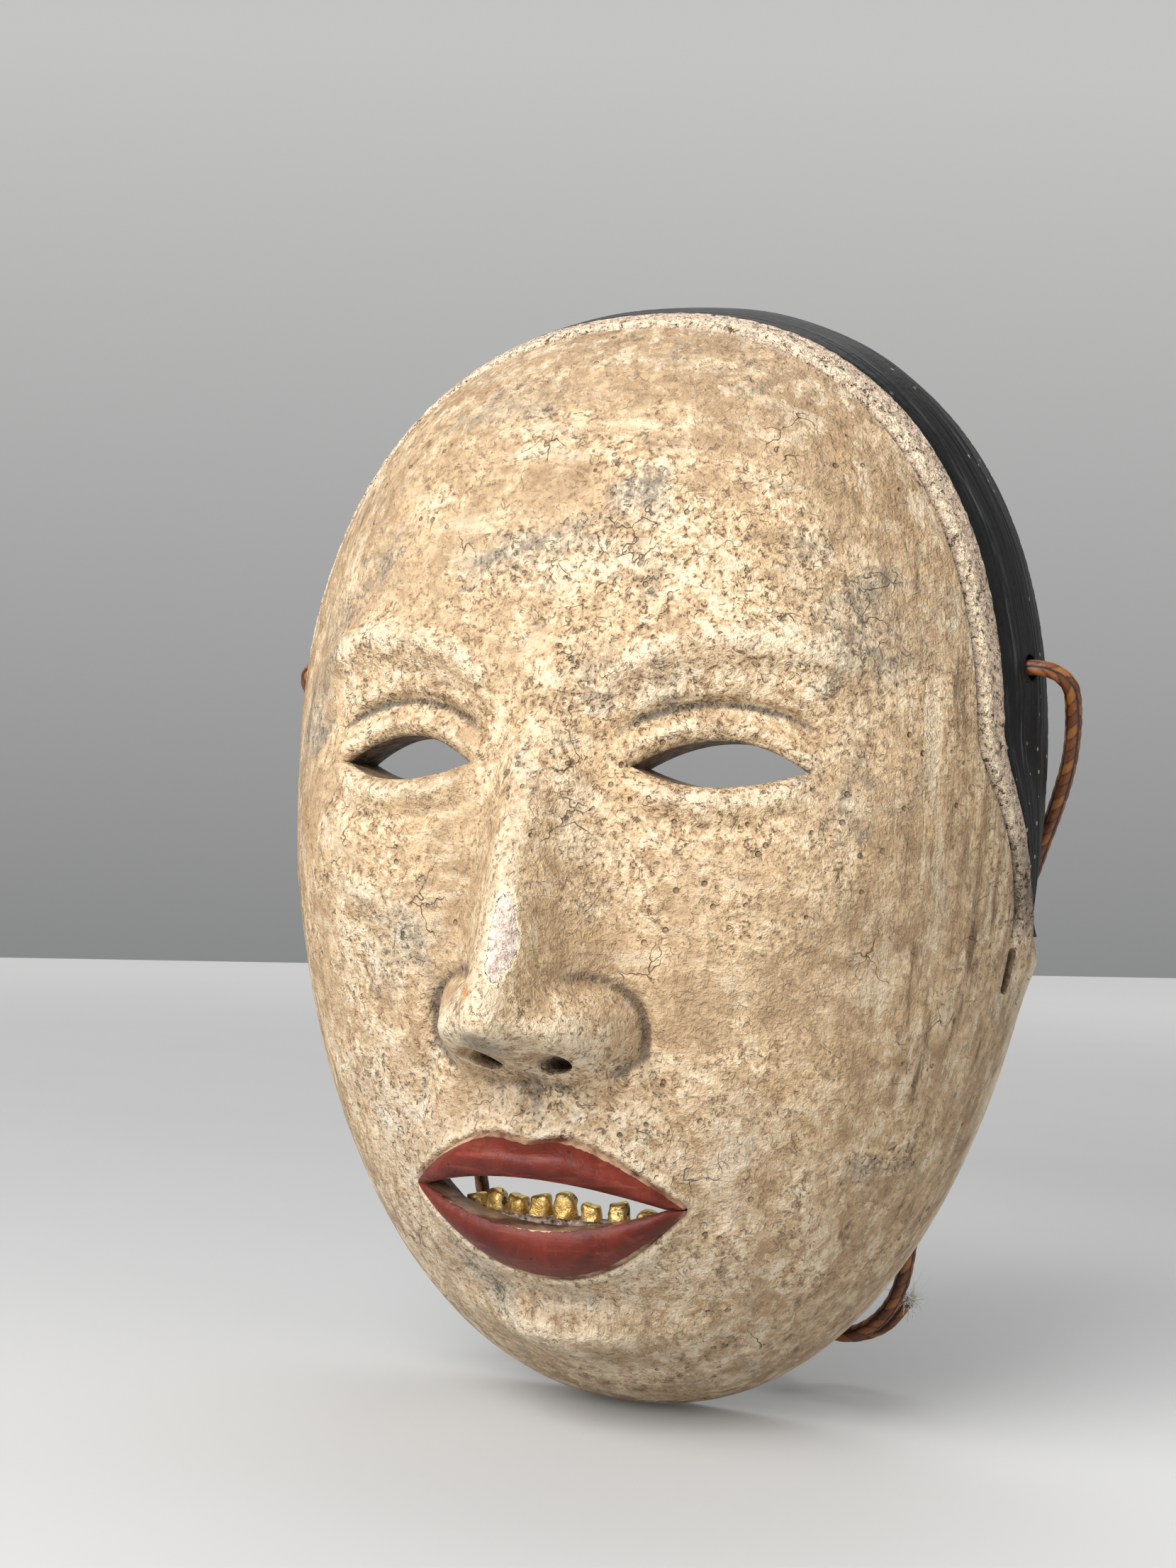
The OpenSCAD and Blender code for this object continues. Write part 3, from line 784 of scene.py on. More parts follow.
def wornSpot(m, name, grain, fray):
    # 0 in the middle of a worn place and 1 at its frayed border
    x, z, wide, high, lean = wear[name]
    moved = m.node("ShaderNodeMapping", {"vector_type": "TEXTURE"}, {
        "Vector": m.coords, "Location": (x * mm, 0, z * mm), "Rotation": (0, math.radians(lean), 0),
        "Scale": (wide * mm, 1000.0, high * mm)})
    return m.vector("LENGTH", {0: moved}, "Value") + (grain - 0.5) * fray


def gessoFinish():
    g, m = gesso, Finish("worn_gesso")
    height = m.upward()
    hollow, edge, fillet = m.attribute("hollow"), m.attribute("edge"), m.attribute("fillet")
    broad, patch = m.noise(20, 3, 0.55, 0.5), m.noise(75, 4, 0.62, 0.6)
    mottle, pebble, grit = m.noise(240, 4, 0.66, 0.7), m.noise(820, 3, 0.7, 0.5), m.noise(2100, 2, 0.6)
    brush = m.noise(300, 4, 0.7, 0.0, m.stretched((1, 1, 0.08)))
    # pebbly flecks under a millimetre wide, strong in some zones and faint in others
    flecked = (broad * 0.8 + patch * 0.7 - edge * 0.12).ramp(0.60, 0.88)
    fleck = (pebble * 0.62 + grit * 0.16 + mottle * 0.22).ramp(0.40, 0.62)
    cream = (fleck - 0.5) * (flecked * 0.9 + 0.22) + (mottle - 0.5) * 1.5 + (patch - 0.5) * 1.2
    cream = cream + (broad - 0.5) + 0.58 - height.ramp(0.045, 0.105) * 0.20 - edge * 0.10
    m.tone = m.mix(cream.ramp(-0.15, 1.1), g["tan"], g["cream"])
    m.over((cream - 0.55).ramp(0.15, 0.95) * 0.8, g["pale"])
    # greyer and paler low on the face
    ashen = (mottle * 0.6 + broad * 0.6 - height * 3.2 - edge * 0.15).ramp(0.62, 0.98)
    m.over(ashen * (fleck * 0.5 + 0.35), g["ash"])
    stain = m.noise(46, 3, 0.6, 0.8).ramp(0.54, 0.68) * fleck
    m.over(stain * 0.35, g["ochre"])
    # brown pits between the flecks, and a few deeper dark ones
    pits = (pebble * 0.7 + grit * 0.3).ramp(0.42, 0.35) * (flecked * 0.88 + 0.12)
    m.over(pits * 0.58, g["speck"])
    dots = m.cells(270).ramp(0.16, 0.09) * m.noise(48, 2).ramp(0.50, 0.58)
    m.over(dots * 0.65, g["speck"])
    # wiped strokes that lean across the face: tan ones, and pale ones that are painted highlight as on lit
    # ridges of raised paint
    stroke = m.noise(260, 4, 0.7, 0.2, m.stretched((0.16, 1, 1), (0, 0.6, 0))) - m.noise(60, 2) * 0.35
    m.over(stroke.ramp(0.36, 0.50) * (1.0 - flecked * 0.7) * 0.32, g["tan"])
    # pale strokes: painted highlight
    m.over(stroke.ramp(0.30, 0.18) * 0.3, g["pale"])
    # short creases, as where thick paint has drawn together
    crease = (m.noise(330, 2, 0.5, 1.0) - 0.5).maths("ABSOLUTE").ramp(0.022, 0.004)
    crease = crease * m.noise(520, 2).ramp(0.50, 0.62) * (flecked * 0.7 + 0.3) * (1.0 - fillet * 0.85)
    m.over(crease * 0.55, g["speck"])
    # brushed lines near the rim, slate smudges, and grime with painted shade in the hollows
    lines = brush.ramp(0.51, 0.62) * (edge * 0.9 + 0.15)
    m.over(lines * 0.65, g["tan"])
    m.over(brush.ramp(0.46, 0.38) * edge * 0.45, g["pale"])
    m.over(brush.ramp(0.60, 0.68) * edge * 0.6, g["grimeAndShade"])
    smudge = m.noise(30, 4, 0.65, 0.9).ramp(0.53, 0.66) * patch.ramp(0.35, 0.6)
    m.over(smudge * (0.75 - fleck * 0.45), g["slate"])
    # darker in the hollows: partly dirt and partly painted shade
    dirtAndShade = (hollow * 0.75 + patch * 0.9 + mottle * 0.9 - pebble * 0.7 - 0.62).ramp(0.10, 0.95)
    m.over(dirtAndShade * 0.82, m.mix(broad.ramp(0.42, 0.56), g["grimeAndShade"], g["oldGrimeAndShade"]))
    rubbed = (hollow * -0.7 + patch * 0.9 + pebble * 1.3 + mottle * 0.5 - 1.35).ramp(0.15, 0.85)
    m.over(rubbed * 0.5, g["pale"])
    # a smudged tip, a fleck of orange and a flaked place on the nose
    m.over(wornSpot(m, "dark", pebble, 0.7).ramp(1.0, 0.35) * 0.65, g["slate"])
    m.over(wornSpot(m, "orangeSpot", pebble, 1.2).ramp(1.0, 0.7) * 0.8, g["orange"])
    reach = wornSpot(m, "chip", mottle, 0.9)
    lost, lip = reach.ramp(1.0, 0.93), reach.ramp(1.22, 1.04) * reach.ramp(0.90, 1.0)
    m.over(lost * 0.9, m.mix(pebble.ramp(0.40, 0.60), g["bareDark"], g["bare"]))
    m.over(lip * 0.75, g["inlay"])
    # the fillet in front of the band, with a brighter chipped line inside it
    m.over(fillet * ((mottle * 0.5 + pebble * 0.5).ramp(0.38, 0.54) * 0.6 + 0.3), g["fillet"])
    bright = m.attribute("inlay") * (mottle * 0.5 + pebble * 0.8).ramp(0.57, 0.69)
    m.over(bright, g["inlay"])
    # darker in the fillet's groove and hollows: dirt and painted shade
    m.over(dirtAndShade * fillet * 0.8, g["grimeAndShade"])
    m.over(m.attribute("rim") * (mottle * 0.9 + 0.15), g["pale"])
    chips = m.cells(420).ramp(0.22, 0.14) * mottle.ramp(0.46, 0.54)
    chips = chips.most((pebble * 0.6 + mottle * 0.4).ramp(0.41, 0.36)) * fillet
    m.over(chips * 0.7, m.mix(grit.ramp(0.4, 0.6), g["speck"], g["tan"]))
    # hairline cracks here and there
    wander = m.node("ShaderNodeTexNoise", None, {"Vector": m.coords, "Scale": 220.0}, "Color")
    moved = m.vector("ADD", {0: m.coords, 1: m.vector("SCALE", {0: wander, "Scale": 0.008})})
    crack = m.cells(120, "DISTANCE_TO_EDGE", moved).ramp(0.016, 0.0) * m.noise(60, 3).ramp(0.60, 0.68)
    crack = crack * (1.0 - fillet * 0.8)
    m.over(crack * 0.6, g["speck"])
    bumped = m.height(patch * 0.6 + mottle * 0.4 - lost * 0.5 + lip * 0.15, 0.0009)
    fine = pebble + grit * 0.3 - pits * 0.5 - dots - crack - crease * 0.8 - chips * 0.5
    bumped = m.height(fine, 0.00075, bumped)
    rough = ((pebble - 0.5) * 0.8 + (mottle - 0.5) * 0.4) * fillet
    bumped = m.height(brush * edge + rough, 0.0008, bumped)
    return m.finished(g["specular"], Base_Color=m.tone, Roughness=pebble * 0.3 + g["rough"], Normal=bumped)


def hollowFinish():
    m = Finish("dark_inside")
    grain = m.noise(140, 5, 0.6, 0.6, m.stretched((1, 1, 0.12)))
    gouges = m.cells(95, "F1", m.stretched((1.0, 1.0, 0.45)))
    m.tone = m.mix(grain.ramp(0.35, 0.7), (0.022, 0.014, 0.010), (0.085, 0.048, 0.027))
    m.over(m.noise(50, 4).ramp(0.5, 0.75) * 0.4, (0.14, 0.098, 0.062))
    bumped = m.height(grain, 0.0003, m.height(gouges, 0.0012))
    return m.finished(Base_Color=m.tone, Roughness=grain * 0.2 + 0.5, Normal=bumped)


def cutFinish():
    # the walls of the eyes and the mouth: thin brown paint over wood
    m = Finish("cut_edges")
    grain, fine = m.noise(260, 4, 0.65, 0.5), m.noise(900, 3, 0.7)
    m.tone = m.mix((grain * 0.6 + fine * 0.4).ramp(0.38, 0.62), (0.055, 0.034, 0.021), (0.24, 0.155, 0.09))
    return m.finished(Base_Color=m.tone, Roughness=0.7, Normal=m.height(grain * 0.6 + fine * 0.4, 0.0006))


shellMaterials = [gessoFinish(), hollowFinish(), cutFinish()]

# ---- the carved shell: two square grids bent into discs, joined at the rim ----
shell = {"rings": 106, "faceRings": 80, "innerRings": 53, "ease": 28.0, "onRim": 0.99999, "finest": 0.75}
# where the skin is cut finer, twice: margin round eyes and mouth, then the nose's side, below and above
finer = ((7.5, 19, -3.5, 13), (3.4, 13, -2.5, 4))
# dirt and painted shade gather in hollows: how far round they are felt, and how much the wider ones count
gather = {"near": 2.2, "far": 6.0, "farShare": 0.22, "step": 0.4}
# depth, inset of the fillet's groove and swell, share of the band's rebate, plain inset
sideRows = np.array([(d, inset, 0, 0) for d, inset in (
    (29.0, 0), (28.85, 0), (28.7, 0), (28.55, 0), (28.4, 0), (28.25, 0), (28.1, 0), (27.85, 0.25),
    (27.6, 0.6), (27.15, 1.1), (26.75, 1.15), (26.3, 0.5), (25.8, -0.1), (25.0, -0.22), (24.0, -0.12),
    (23.0, -0.1), (22.2, -0.05), (21.6, 0.05), (21.15, 0.45))] + [(20.95, 0.5, 0.3, 0)] + [
        (d, 0, 1, bare) for d, bare in (
            (20.85, 0), (19.5, 0), (14.5, 0), (9.5, 0), (5.0, 0.05), (1.0, 0.1), (0.0, 0.7))])
faceEnd = rimLevel(sideRows[0, 0])


def filletDrawn(depth, a):
    # the fillet keeps its width beside the band, and the face eases after it
    edge = band["width"]
    shift = edge - drawnBack(np.full_like(depth, edge - 1e-6), a)
    top, ease = sideRows[0, 0], shell["ease"]
    eased = top - (top - depth) / (top - ease) * (top - ease + shift)
    return np.where(depth < edge, drawnBack(depth, a), np.where(depth < ease, depth - shift, eased))


def squareAngle(u, v):
    # a square grid's points as angle and share of the way out
    k = np.maximum(np.maximum(np.abs(u), np.abs(v)), 1e-9)
    upper = np.where(v > 0, 45 * u / k, 180 - 45 * u / k)
    right = np.where(u > 0, 90 - 45 * v / k, 270 + 45 * v / k)
    return np.radians(np.where(np.abs(v) >= np.abs(u), upper, right)), k


def onOuter(u, v):
    a, t = squareAngle(u, v)
    tf = shell["faceRings"] / shell["rings"]
    s = np.minimum(t / tf, 1)
    x, z = place(a, faceEnd * s * (0.8 + 0.2 * s), halfW, halfH)
    z = z + mask["discZ"] * (1 - s * s)
    row = np.clip((t - tf) / (1 - tf), 0, 1) * (len(sideRows) - 1)
    at = np.arange(len(sideRows))
    plain, swell, share, bare = (np.interp(row, at, sideRows[:, k]) for k in range(4))
    stubShare = np.clip((27 - plain) / 6, 0, 1)
    depth = filletDrawn(plain, a)
    inset = swell * bandShare(a) + share * floorInset(a) - (1 - share) * stubShare * stub(a) + bare
    chips = lumps(a * halfW * 1.25, plain * 1.3, 14) * soft(27.4, 26.2, plain) * soft(21.0, 22.0, plain)
    inset = inset + 0.14 * chips * bandShare(a)
    level = rimLevel(depth)
    sx, sz = place(a, level, halfW, halfH)
    nx, nz = outward(a)
    sx, sz = sx - inset * nx, sz - inset * nz
    side = t > tf
    return np.where(side, sx, x), np.where(side, sz, z), np.where(side, depth, -1.0), a, plain


def nearFeature(x, z, margin, side, below, above):
    # within the margin of an eye or half of it of the mouth, or in the box round the nose
    u, up = np.abs(x), z - face["noseZ"]
    d = lensDistance(u - face["eyeX"], z - face["eyeZ"], eyeHalf, eyeUp, eyeDown)[0]
    m = mouthDistance(x, z)
    nose = (u < side) & (up > below) & (up < above)
    return ((d < margin) & (d > -2.5)) | ((m < margin * 0.5) & (m > -1.5)) | nose


def gridDisc(name, steps):
    counts = {"x_subdivisions": 2 * steps, "y_subdivisions": 2 * steps}
    return started(name, bpy.ops.mesh.primitive_grid_add, size=2, **counts)


def rimOf(co, angle):
    found = np.flatnonzero(np.abs(co[:, :2]).max(axis=1) > shell["onRim"])
    return found[np.argsort(angle[found] % math.tau)]


def depthRound(x, z, r):
    turns = np.radians(np.arange(0, 360, 45))
    return np.mean([carvedDepth(x + r * math.cos(a), z + r * math.sin(a)) for a in turns], axis=0)


def hollowAt(x, z):
    # how far the skin lies behind the mean of what is round it, less on steep places
    here, step = carvedDepth(x, z), gather["step"]
    near, far = depthRound(x, z, gather["near"]) - here, depthRound(x, z, gather["far"]) - here
    sideways, upwards = (carvedDepth(x + step, z) - here) / step, (carvedDepth(x, z + step) - here) / step
    return (near + far * gather["farShare"]) / np.sqrt(1 + sideways**2 + upwards**2)


outer = gridDisc("mask_shell", shell["rings"])
for around in finer:
    pick(outer)
    bpy.ops.object.mode_set(mode="EDIT")
    bpy.ops.mesh.select_mode(type="FACE")
    bpy.ops.mesh.select_all(action="DESELECT")
    bpy.ops.object.mode_set(mode="OBJECT")
    middles = np.empty(len(outer.data.polygons) * 3)
    outer.data.polygons.foreach_get("center", middles)
    middles = middles.reshape(-1, 3)
    mx, mz = onOuter(middles[:, 0], middles[:, 1])[:2]
    chosen = nearFeature(mx, mz, *around) & (np.abs(middles[:, :2]).max(axis=1) < shell["finest"])
    outer.data.polygons.foreach_set("select", chosen)
    bpy.ops.object.mode_set(mode="EDIT")
    bpy.ops.mesh.subdivide(number_cuts=1)
    bpy.ops.object.mode_set(mode="OBJECT")
co = points(outer)
x, z, sideDepth, angle, plain = onOuter(co[:, 0], co[:, 1])
level = levelAt(x, z, halfW, halfH)
sideLevel = rimLevel(np.maximum(sideDepth, 0))
sideSkin = np.maximum(sideDepth, 0) + relief(x, z) * fading(sideLevel) * (sideDepth > 0.5)
depth = np.where(sideDepth < 0, carvedDepth(x, z), sideSkin + unevenness(x, z) * soft(20, 27, sideDepth))
hollow = np.where(sideDepth < 0, hollowAt(x, z), 0)
banded = bandShare(angle)
# the groove inside the fillet and a line low on the side wall darken through the hollow mark: painted shade
# in the groove
groove = bump(plain - 27.0, 0.5) * banded + 0.6 * bump(sideDepth - 5.4, 0.5) * (1 - banded)
onFillet = soft(27.9, 26.9, plain) * banded
grimy = 1.1 * soft(-16, -3, pastEnd(angle)) * onFillet * soft(20.5, 22.0, plain)
setPoints(outer, np.c_[x, -depth, z])
onSide = sideDepth >= 0
marks = {
    "hollow": np.clip(hollow + (groove + grimy) * onSide, -0.9, 2.5),
    "fillet": onFillet * onSide,
    "edge": np.where(onSide, 1.0, soft(0.62, 0.88, level)),
    "inlay": bump(plain - 25.5, 0.6) * banded * onSide,
    "rim": soft(5.2, 4.0, sideDepth) * (1 - banded) * onSide,
}
for name, values in marks.items():
    floatAttribute(outer, name, values)
rimOuter = rimOf(co, angle)
print("outer skin", len(co), "points")

inner = gridDisc("mask_hollow", shell["innerRings"])
ci = points(inner)
ai, ti = squareAngle(ci[:, 0], ci[:, 1])
ti = np.minimum(ti, 1)
xi, zi = place(ai, np.sin(np.pi / 2 * ti) ** (2 / rounded), innerW, innerH)
chisel = 0.22 * waves(xi * 2.2, zi * 2.2, 9) * (1 - soft(0.9, 0.99, ti))
di = np.where(ti > shell["onRim"], 0, hollowDepth(xi, zi) + chisel)
setPoints(inner, np.c_[xi, -di, zi])
for name in marks:
    floatAttribute(inner, name, np.zeros(len(ci)))
rimInner = rimOf(ci, ai) + len(co)
for piece in (outer, inner):
    for material in shellMaterials:
        piece.data.materials.append(material)
paintAll(inner, 1)
maskShell = named(joined(outer, inner), "mask_shell")
net = bmesh.new()
net.from_mesh(maskShell.data)
net.verts.ensure_lookup_table()
n = len(rimInner)
for i in range(n):
    a, b, c = (net.verts[rimOuter[(2 * i + s) % (2 * n)]] for s in range(3))
    d, e = net.verts[rimInner[i]], net.verts[rimInner[(i + 1) % n]]
    for corners in ((a, b, d), (b, e, d), (b, c, e)):
        net.faces.new(corners).material_index = 1
net.to_mesh(maskShell.data)
net.free()
faceOutwards(maskShell)
print("shell closed", len(maskShell.data.polygons), "faces")


# ---- cutters: the openings go straight through ----
def prism(name, outline, low, high, axis="Y"):
    # a cylinder whose rings are moved to the outline
    sides = len(outline)
    piece = started(name, bpy.ops.mesh.primitive_cylinder_add, vertices=sides, radius=1, depth=2)
    co = points(piece)
    side = np.rint(np.arctan2(co[:, 0], co[:, 1]) / math.tau * sides).astype(int) % sides
    flat = np.asarray(outline)[side]
    along = np.where(co[:, 2] > 0, high, low)
    out = np.c_[flat[:, 0], along, flat[:, 1]] if axis == "Y" else np.c_[along, flat[:, 0], flat[:, 1]]
    setPoints(piece, out)
    faceOutwards(piece)
    return piece


# the cutters' ends, back to front and sideways
through = {"front": -120.0, "back": -20.0, "within": 50.0, "beyond": 90.0}
cutters = []
for side in (-1, 1):
    xs = np.linspace(-eyeHalf, eyeHalf, 25)
    outline = [(v, bow(v, eyeHalf, eyeUp)) for v in xs]
    outline += [(v, -bow(v, eyeHalf, eyeDown)) for v in xs[-2:0:-1]]
    outline = np.array(outline) + (side * face["eyeX"], face["eyeZ"])
    cutters.append(prism("eyeCut", outline, through["front"], through["back"]))
xs = np.arange(-12, 13) * mouthHalf / 12.5
outline = [(-mouthHalf, mouth["z"])] + [(v, mouthTop(v)) for v in xs]
outline += [(mouthHalf, mouth["z"])] + [(v, mouthBottom(v)) for v in xs[::-1]]
cutters.append(prism("mouthCut", outline, through["front"], through["back"]))
slot = {"z": -19.0, "depth": 12.0, "height": 8.0, "width": 2.4, "cut": 2.6}


def sidePrism(name, outline, side, within):
    low, high = sorted((side * within, side * through["beyond"]))
    return prism(name, outline, low, high, "X")


def cordHoleCutters():
    bend = np.linspace(0, math.tau, 33)[:-1]
    r = hole["diameter"] / 2
    circle = np.c_[-hole["depth"] + r * np.cos(bend), hole["z"] + r * np.sin(bend)]
    return [sidePrism("cordCut", circle, side, through["within"]) for side in (-1, 1)]


slotX = sideX(slot["z"], slot["depth"], halfW, halfH, mask["dome"])
half = slot["width"] / 2
straight = slot["height"] / 2 - half
slotLine = []
for end in (1, -1):
    for a in np.linspace(0, math.pi, 9):
        rise = end * (straight + half * math.sin(a))
        slotLine.append((-slot["depth"] + end * half * math.cos(a), slot["z"] + rise))
cutters += cordHoleCutters()
cutters += [sidePrism("slotCut", slotLine, side, slotX - slot["cut"]) for side in (-1, 1)]
cutBy(maskShell, cutters, shellMaterials)
smoothed(maskShell, 40)
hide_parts("face_shell")
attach(maskShell, "root")
print("openings cut", len(maskShell.data.polygons), "faces")


# ---- black hair band, let into the side wall ----
bandCut = {
    "stations": 320, "round": 0.5, "ridge": 8.5, "lean": 0.75, "back": 0.5, "front": 20.4, "least": 0.25,
}
innerDepths = np.array([bandCut["front"], 14.0, 7.0, bandCut["back"]])
bandDepths = np.array([
    bandCut["back"], 0.56, 0.7, 1.0, 2.5, 4.5, 6.5, 8.0, 8.5, 9.2, 11.5, 14.0, 16.5, 18.8, 19.9, 20.25, 20.36,
    bandCut["front"]])
fromCorner = np.minimum(bandDepths - bandCut["back"], bandCut["front"] - bandDepths)
edgeRound = roll(fromCorner, bandCut["round"])
facets = bandCut["lean"] * np.clip((bandCut["ridge"] - bandDepths) / bandCut["ridge"], 0, 1)
reach = math.radians(bandEnd - 2.5)
bandSections = []
for a in np.linspace(-reach, reach, bandCut["stations"]):
    back = floorInset(a) - band["clear"]
    front = back - band["thick"] * bandShare(a)
    uneven = 0.10 * math.sin(a * 9 + 1) + 0.06 * math.sin(a * 23)
    outerInset = front + edgeRound + (facets + uneven * soft(0, 3, fromCorner)) * bandShare(a)
    outerSide = wallPoint(a, drawnBack(bandDepths, a), np.minimum(outerInset, back - bandCut["least"]))
    innerSide = wallPoint(a, drawnBack(innerDepths, a), np.full(4, back))
    bandSections.append(np.concatenate([outerSide, innerSide]))
hairBand, station, side = lofted("hair_band", bandSections)
floatAttribute(hairBand, "sweep", station / bandCut["stations"])
floatAttribute(hairBand, "across", np.r_[bandDepths, innerDepths][side] / 20)
cutBy(hairBand, cordHoleCutters())
smoothed(hairBand, 28)


def blackFinish():
    m = Finish("black_paint")
    sweep, over = m.attribute("sweep"), m.attribute("across")
    swept = m.node("ShaderNodeCombineXYZ", None, {"X": sweep * 0.030, "Y": over * 0.032})
    cloud, grain = m.noise(60, 4, 0.6, 0.4), m.noise(700, 4, 0.65)
    brush, facets = m.noise(620, 4, 0.65, 0.3, swept), m.noise(210, 3, 0.5, 0.4, swept)
    m.tone = m.mix(cloud.ramp(0.35, 0.75), (0.0045, 0.0050, 0.0052), (0.0095, 0.0104, 0.0106))
    m.over(brush.ramp(0.50, 0.66) * facets.ramp(0.48, 0.60) * 0.9, (0.066, 0.068, 0.065))
    worn = (grain * 0.5 + brush * 0.5).ramp(0.60, 0.68) * m.noise(35, 3).ramp(0.5, 0.65)
    m.over(worn * 0.6, (0.09, 0.085, 0.07))
    specks = m.cells(300).ramp(0.15, 0.10) * m.noise(42, 2).ramp(0.48, 0.54)
    m.over(specks, (0.34, 0.36, 0.27))
    bumped = m.height(grain * 0.3 + brush * 0.7 + specks, 0.0005)
    bumped = m.height(cloud * 0.3 + facets, 0.0014, bumped)
    return m.finished(0.2, Base_Color=m.tone, Roughness=cloud * 0.2 + brush * 0.2 + 0.28, Normal=bumped)


dressed(hairBand, blackFinish(), "black_paint", "hair_band")
print("band made")


# ---- lips: seated in the mouth's cut, their borders tucked under the skin ----
def lipSwell(x, s):
    t = np.clip(np.sin(math.pi * (0.06 + 0.84 * s)), 0, 1)
    return (0.4 + mouth["out"] * t**0.8) * np.sqrt(np.maximum(0, bow(x, mouthHalf, 1)))


def lowerBack(x, z):
    low, high = mouthBottom(x) + band["clear"], gapBottom(x)
    a, b = skinDepth(x, low) - 5, skinDepth(x, high) - 5
    return a + (b - a) * (z - low) / (high - low)


def topBack(x, z):
    return hollowDepth(x, z) + 2


lipRows = {"columns": 121, "rows": 22, "tuck": 0.9, "behind": 1.6}
lipXs = np.sin(np.linspace(-1, 1, lipRows["columns"]) * math.pi / 2) * (mouthHalf - 0.15)
lipShares = np.sin(np.linspace(0, 1, lipRows["rows"]) * math.pi / 2)


def lipOf(name, edgeOf, borderOf, backOf):
    sections = []
    for x in lipXs:
        edge, border = float(edgeOf(x)), float(borderOf(x))
        z = border + (edge - border) * lipShares
        swell = lipSwell(x, lipShares) + 0.10 * waves(x * 2.5, z * 2.5, 21)
        front = np.c_[np.full(len(z), x), -skinDepth(x, z) - swell, z]
        away, behind = np.sign(border - edge), lipRows["behind"]
        tuck = lipRows["tuck"] * away
        outermost = (x, behind - skinDepth(x, border), border + tuck)
        tucked = [outermost, (x, front[0, 1] + 0.5, border + 0.35 * tuck)]
        inward = front[-1] + (0, behind, 0.25 * away)
        back = [inward, (x, -backOf(x, edge), edge), (x, -backOf(x, border), border)]
        sections.append(np.concatenate([tucked, front, back]))
    lip, _, side = lofted(name, sections)
    border = np.r_[1, 1, soft(0.10, 0.0, lipShares) + 0.7 * soft(0.93, 1.0, lipShares), 1, 1, 1]
    floatAttribute(lip, "border", border[side])
    smoothed(lip, 60)
    return lip


upperLip = lipOf("upper_lip_paint", gapTop, mouthTop, topBack)
lowerLip = lipOf("lower_lip_paint", gapBottom, mouthBottom, lowerBack)


def redFinish():
    m = Finish("red_paint")
    cloud, grain = m.noise(120, 4, 0.6, 0.4), m.noise(800, 4, 0.7)
    streak = m.noise(420, 4, 0.65, 0.4, m.stretched((0.12, 0.5, 1)))
    m.tone = m.mix(cloud.ramp(0.3, 0.75), (0.085, 0.011, 0.006), (0.170, 0.025, 0.014))
    m.over(streak.ramp(0.50, 0.66) * 0.55, (0.25, 0.052, 0.030))
    m.over(grain.ramp(0.60, 0.78) * 0.4, (0.30, 0.10, 0.065))
    chips = m.cells(420).ramp(0.14, 0.08) * m.noise(160, 3).ramp(0.52, 0.60)
    m.over(chips * 0.8, (0.05, 0.014, 0.010))
    flaked = (m.attribute("border") * 0.36 + grain * 0.5 + cloud * 0.35).ramp(0.64, 0.71)
    m.over(flaked * 0.85, m.mix(cloud.ramp(0.4, 0.6), (0.11, 0.03, 0.02), (0.50, 0.34, 0.22)))
    bumped = m.height(grain * 0.5 + streak * 0.4 - chips - flaked, 0.0002)
    bumped = m.height(cloud, 0.0006, bumped)
    return m.finished(0.25, Base_Color=m.tone, Roughness=grain * 0.25 + 0.36, Normal=bumped)


redPaint = redFinish()
dressed(upperLip, redPaint, "red_paint", "upper_lip")
dressed(lowerLip, redPaint, "red_paint", "lower_lip")
print("lips made")

# ---- rough gum ridge behind the lower lip ----
gum = {"thick": 5.0, "high": 9.0, "top": mouth["z"] - gapDown + 1, "reach": 0.72, "columns": 150}


def gumFront(x, z):
    return lowerBack(x, z) - band["clear"]


gumSections, top = [], gum["top"]
for x in np.linspace(-gum["reach"], gum["reach"], gum["columns"]) * mouthHalf:
    low = max(float(mouthBottom(x)) + band["clear"], top - gum["high"])
    z = low + (top - low) * np.linspace(0, 1, 14)
    front = [-gumFront(x, z) - 0.35 * lumps(x, z, 3) - 0.2 + roll(top - z, 1.2) * 0.8, z]
    inward = np.linspace(0.12, 0.88, 7)
    crest = [-gumFront(x, top) + gum["thick"] * inward, top + 0.3 * lumps(x, inward * 5, 4) - 0.1]
    down = z[::-3]
    back = [-gumFront(x, down) + gum["thick"] - 0.3 * lumps(x, down, 5), down]
    gumSections.append(np.concatenate([np.c_[np.full(len(y), x), y, up] for y, up in (front, crest, back)]))
gumRidge, *_ = lofted("gum_ridge", gumSections)
smoothed(gumRidge)


def bareFinish():
    m = Finish("bare_ridge")
    fine, grain = m.noise(420, 5, 0.7, 0.5), m.noise(1300, 4, 0.7)
    m.tone = m.mix(fine.ramp(0.35, 0.65), (0.13, 0.085, 0.062), (0.44, 0.33, 0.26))
    m.over(grain.ramp(0.52, 0.66) * 0.8, (0.60, 0.52, 0.44))
    m.over(m.cells(520).ramp(0.22, 0.12) * 0.85, (0.03, 0.02, 0.015))
    return m.finished(Base_Color=m.tone, Roughness=0.85, Normal=m.height(fine * 0.7 + grain * 0.3, 0.0006))


dressed(gumRidge, bareFinish(), "bare_wood", "gum_ridge")

# ---- gilt teeth, each beaten a little differently ----
teeth = {"count": 8, "pitch": 4.6, "height": 5.0, "width": 4.0, "deep": 3.2, "sides": 28, "corner": 0.62}
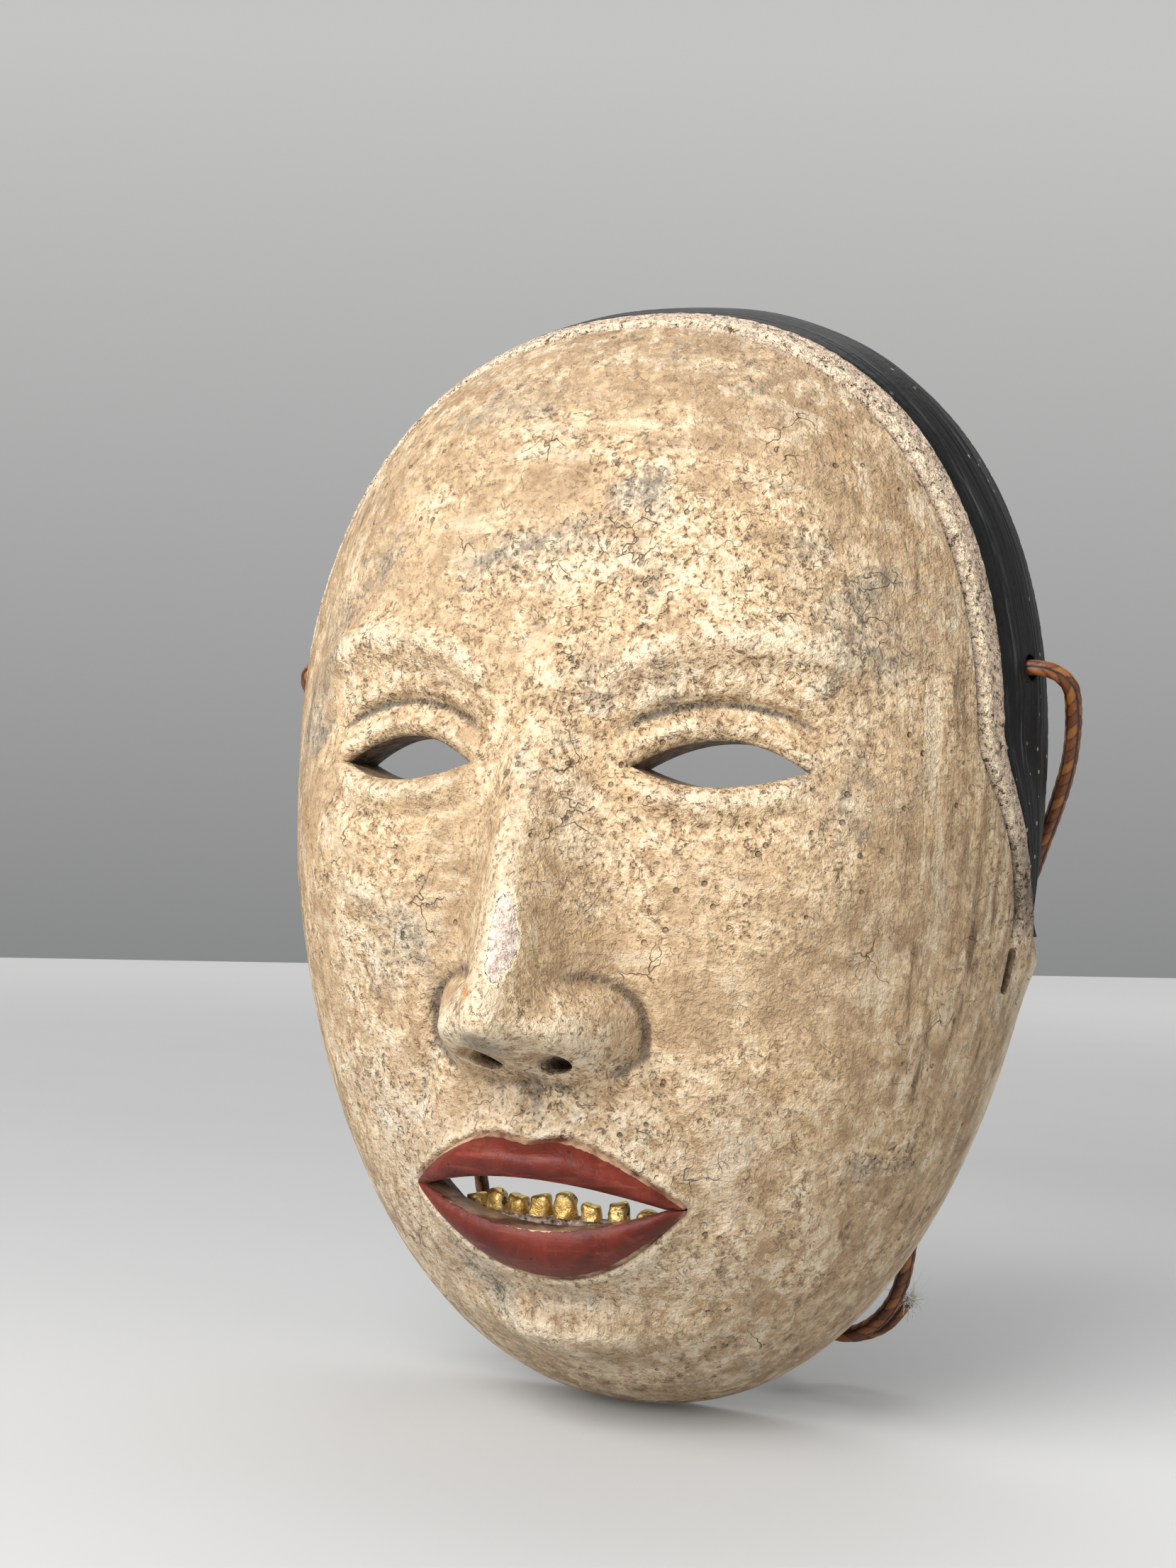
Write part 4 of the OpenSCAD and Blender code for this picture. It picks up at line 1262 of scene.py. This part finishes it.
# size of each ring and its share of the height
toothRings = (
    (1.0, 0.0), (1.04, 0.1), (1.04, 0.22), (1.03, 0.34), (1.02, 0.46), (1.0, 0.58), (0.98, 0.69),
    (0.95, 0.79), (0.90, 0.87), (0.80, 0.94), (0.62, 0.985), (0.34, 1.0),
)
spin = np.arange(teeth["sides"]) * math.tau / teeth["sides"]
squareX, squareY = power(np.cos(spin), teeth["corner"]), power(np.sin(spin), teeth["corner"])
toothPieces = []
rng = np.random.default_rng(7)
for i in range(teeth["count"]):
    x = (i - (teeth["count"] - 1) / 2) * teeth["pitch"]
    slope = float(gumFront(x + 1, gum["top"]) - gumFront(x - 1, gum["top"])) / 2
    lean = -math.atan(slope) + rng.normal(0, 0.06)
    wide, deep = teeth["width"] / 2 * rng.uniform(0.84, 1.0), teeth["deep"] / 2 * rng.uniform(0.92, 1.0)
    high = teeth["height"] * (1 - 0.0012 * x * x) * rng.uniform(0.66, 0.92)
    leaning = np.array([[math.cos(lean), math.sin(lean)], [-math.sin(lean), math.cos(lean)]])
    sections = []
    for size, share in toothRings:
        px, py = wide * size * squareX, deep * size * squareY
        pz = high * share + 0.25 * np.sin(px * 1.3 + i * 2) * share
        beaten = 1 + 0.10 * lumps(px * 0.9 + 9 * i, pz * 0.9 + py, 30 + i)
        turned = np.c_[np.c_[px * beaten, py * beaten] @ leaning, pz - 0.3]
        sections.append(turned + (x, -float(gumFront(x, gum["top"])) + gum["thick"] / 2, gum["top"]))
    root, tip = sections[0].mean(axis=0), sections[-1].mean(axis=0) + (0, 0, 0.05)
    tooth, *_ = lofted("tooth", sections, (root, tip))
    smoothed(tooth)
    toothPieces.append(tooth)
lowerTeeth = named(joined(*toothPieces), "lower_teeth")


def giltFinish():
    m = Finish("gilt")
    cloud, grain = m.noise(260, 4, 0.65, 0.4), m.noise(900, 4, 0.7)
    worn = (cloud * 0.6 + grain * 0.5).ramp(0.60, 0.68)
    m.tone = m.mix(cloud.ramp(0.35, 0.65), (0.58, 0.36, 0.10), (0.92, 0.68, 0.28))
    m.over(worn, (0.07, 0.04, 0.02))
    rough, bumped = worn * 0.4 + grain * 0.2 + 0.26, m.height(cloud * 0.6 + grain * 0.4, 0.0005)
    return m.finished(Base_Color=m.tone, Metallic=(1.0 - worn) * 0.85, Roughness=rough, Normal=bumped)


dressed(lowerTeeth, giltFinish(), "gilt", "lower_teeth")
print("teeth made")
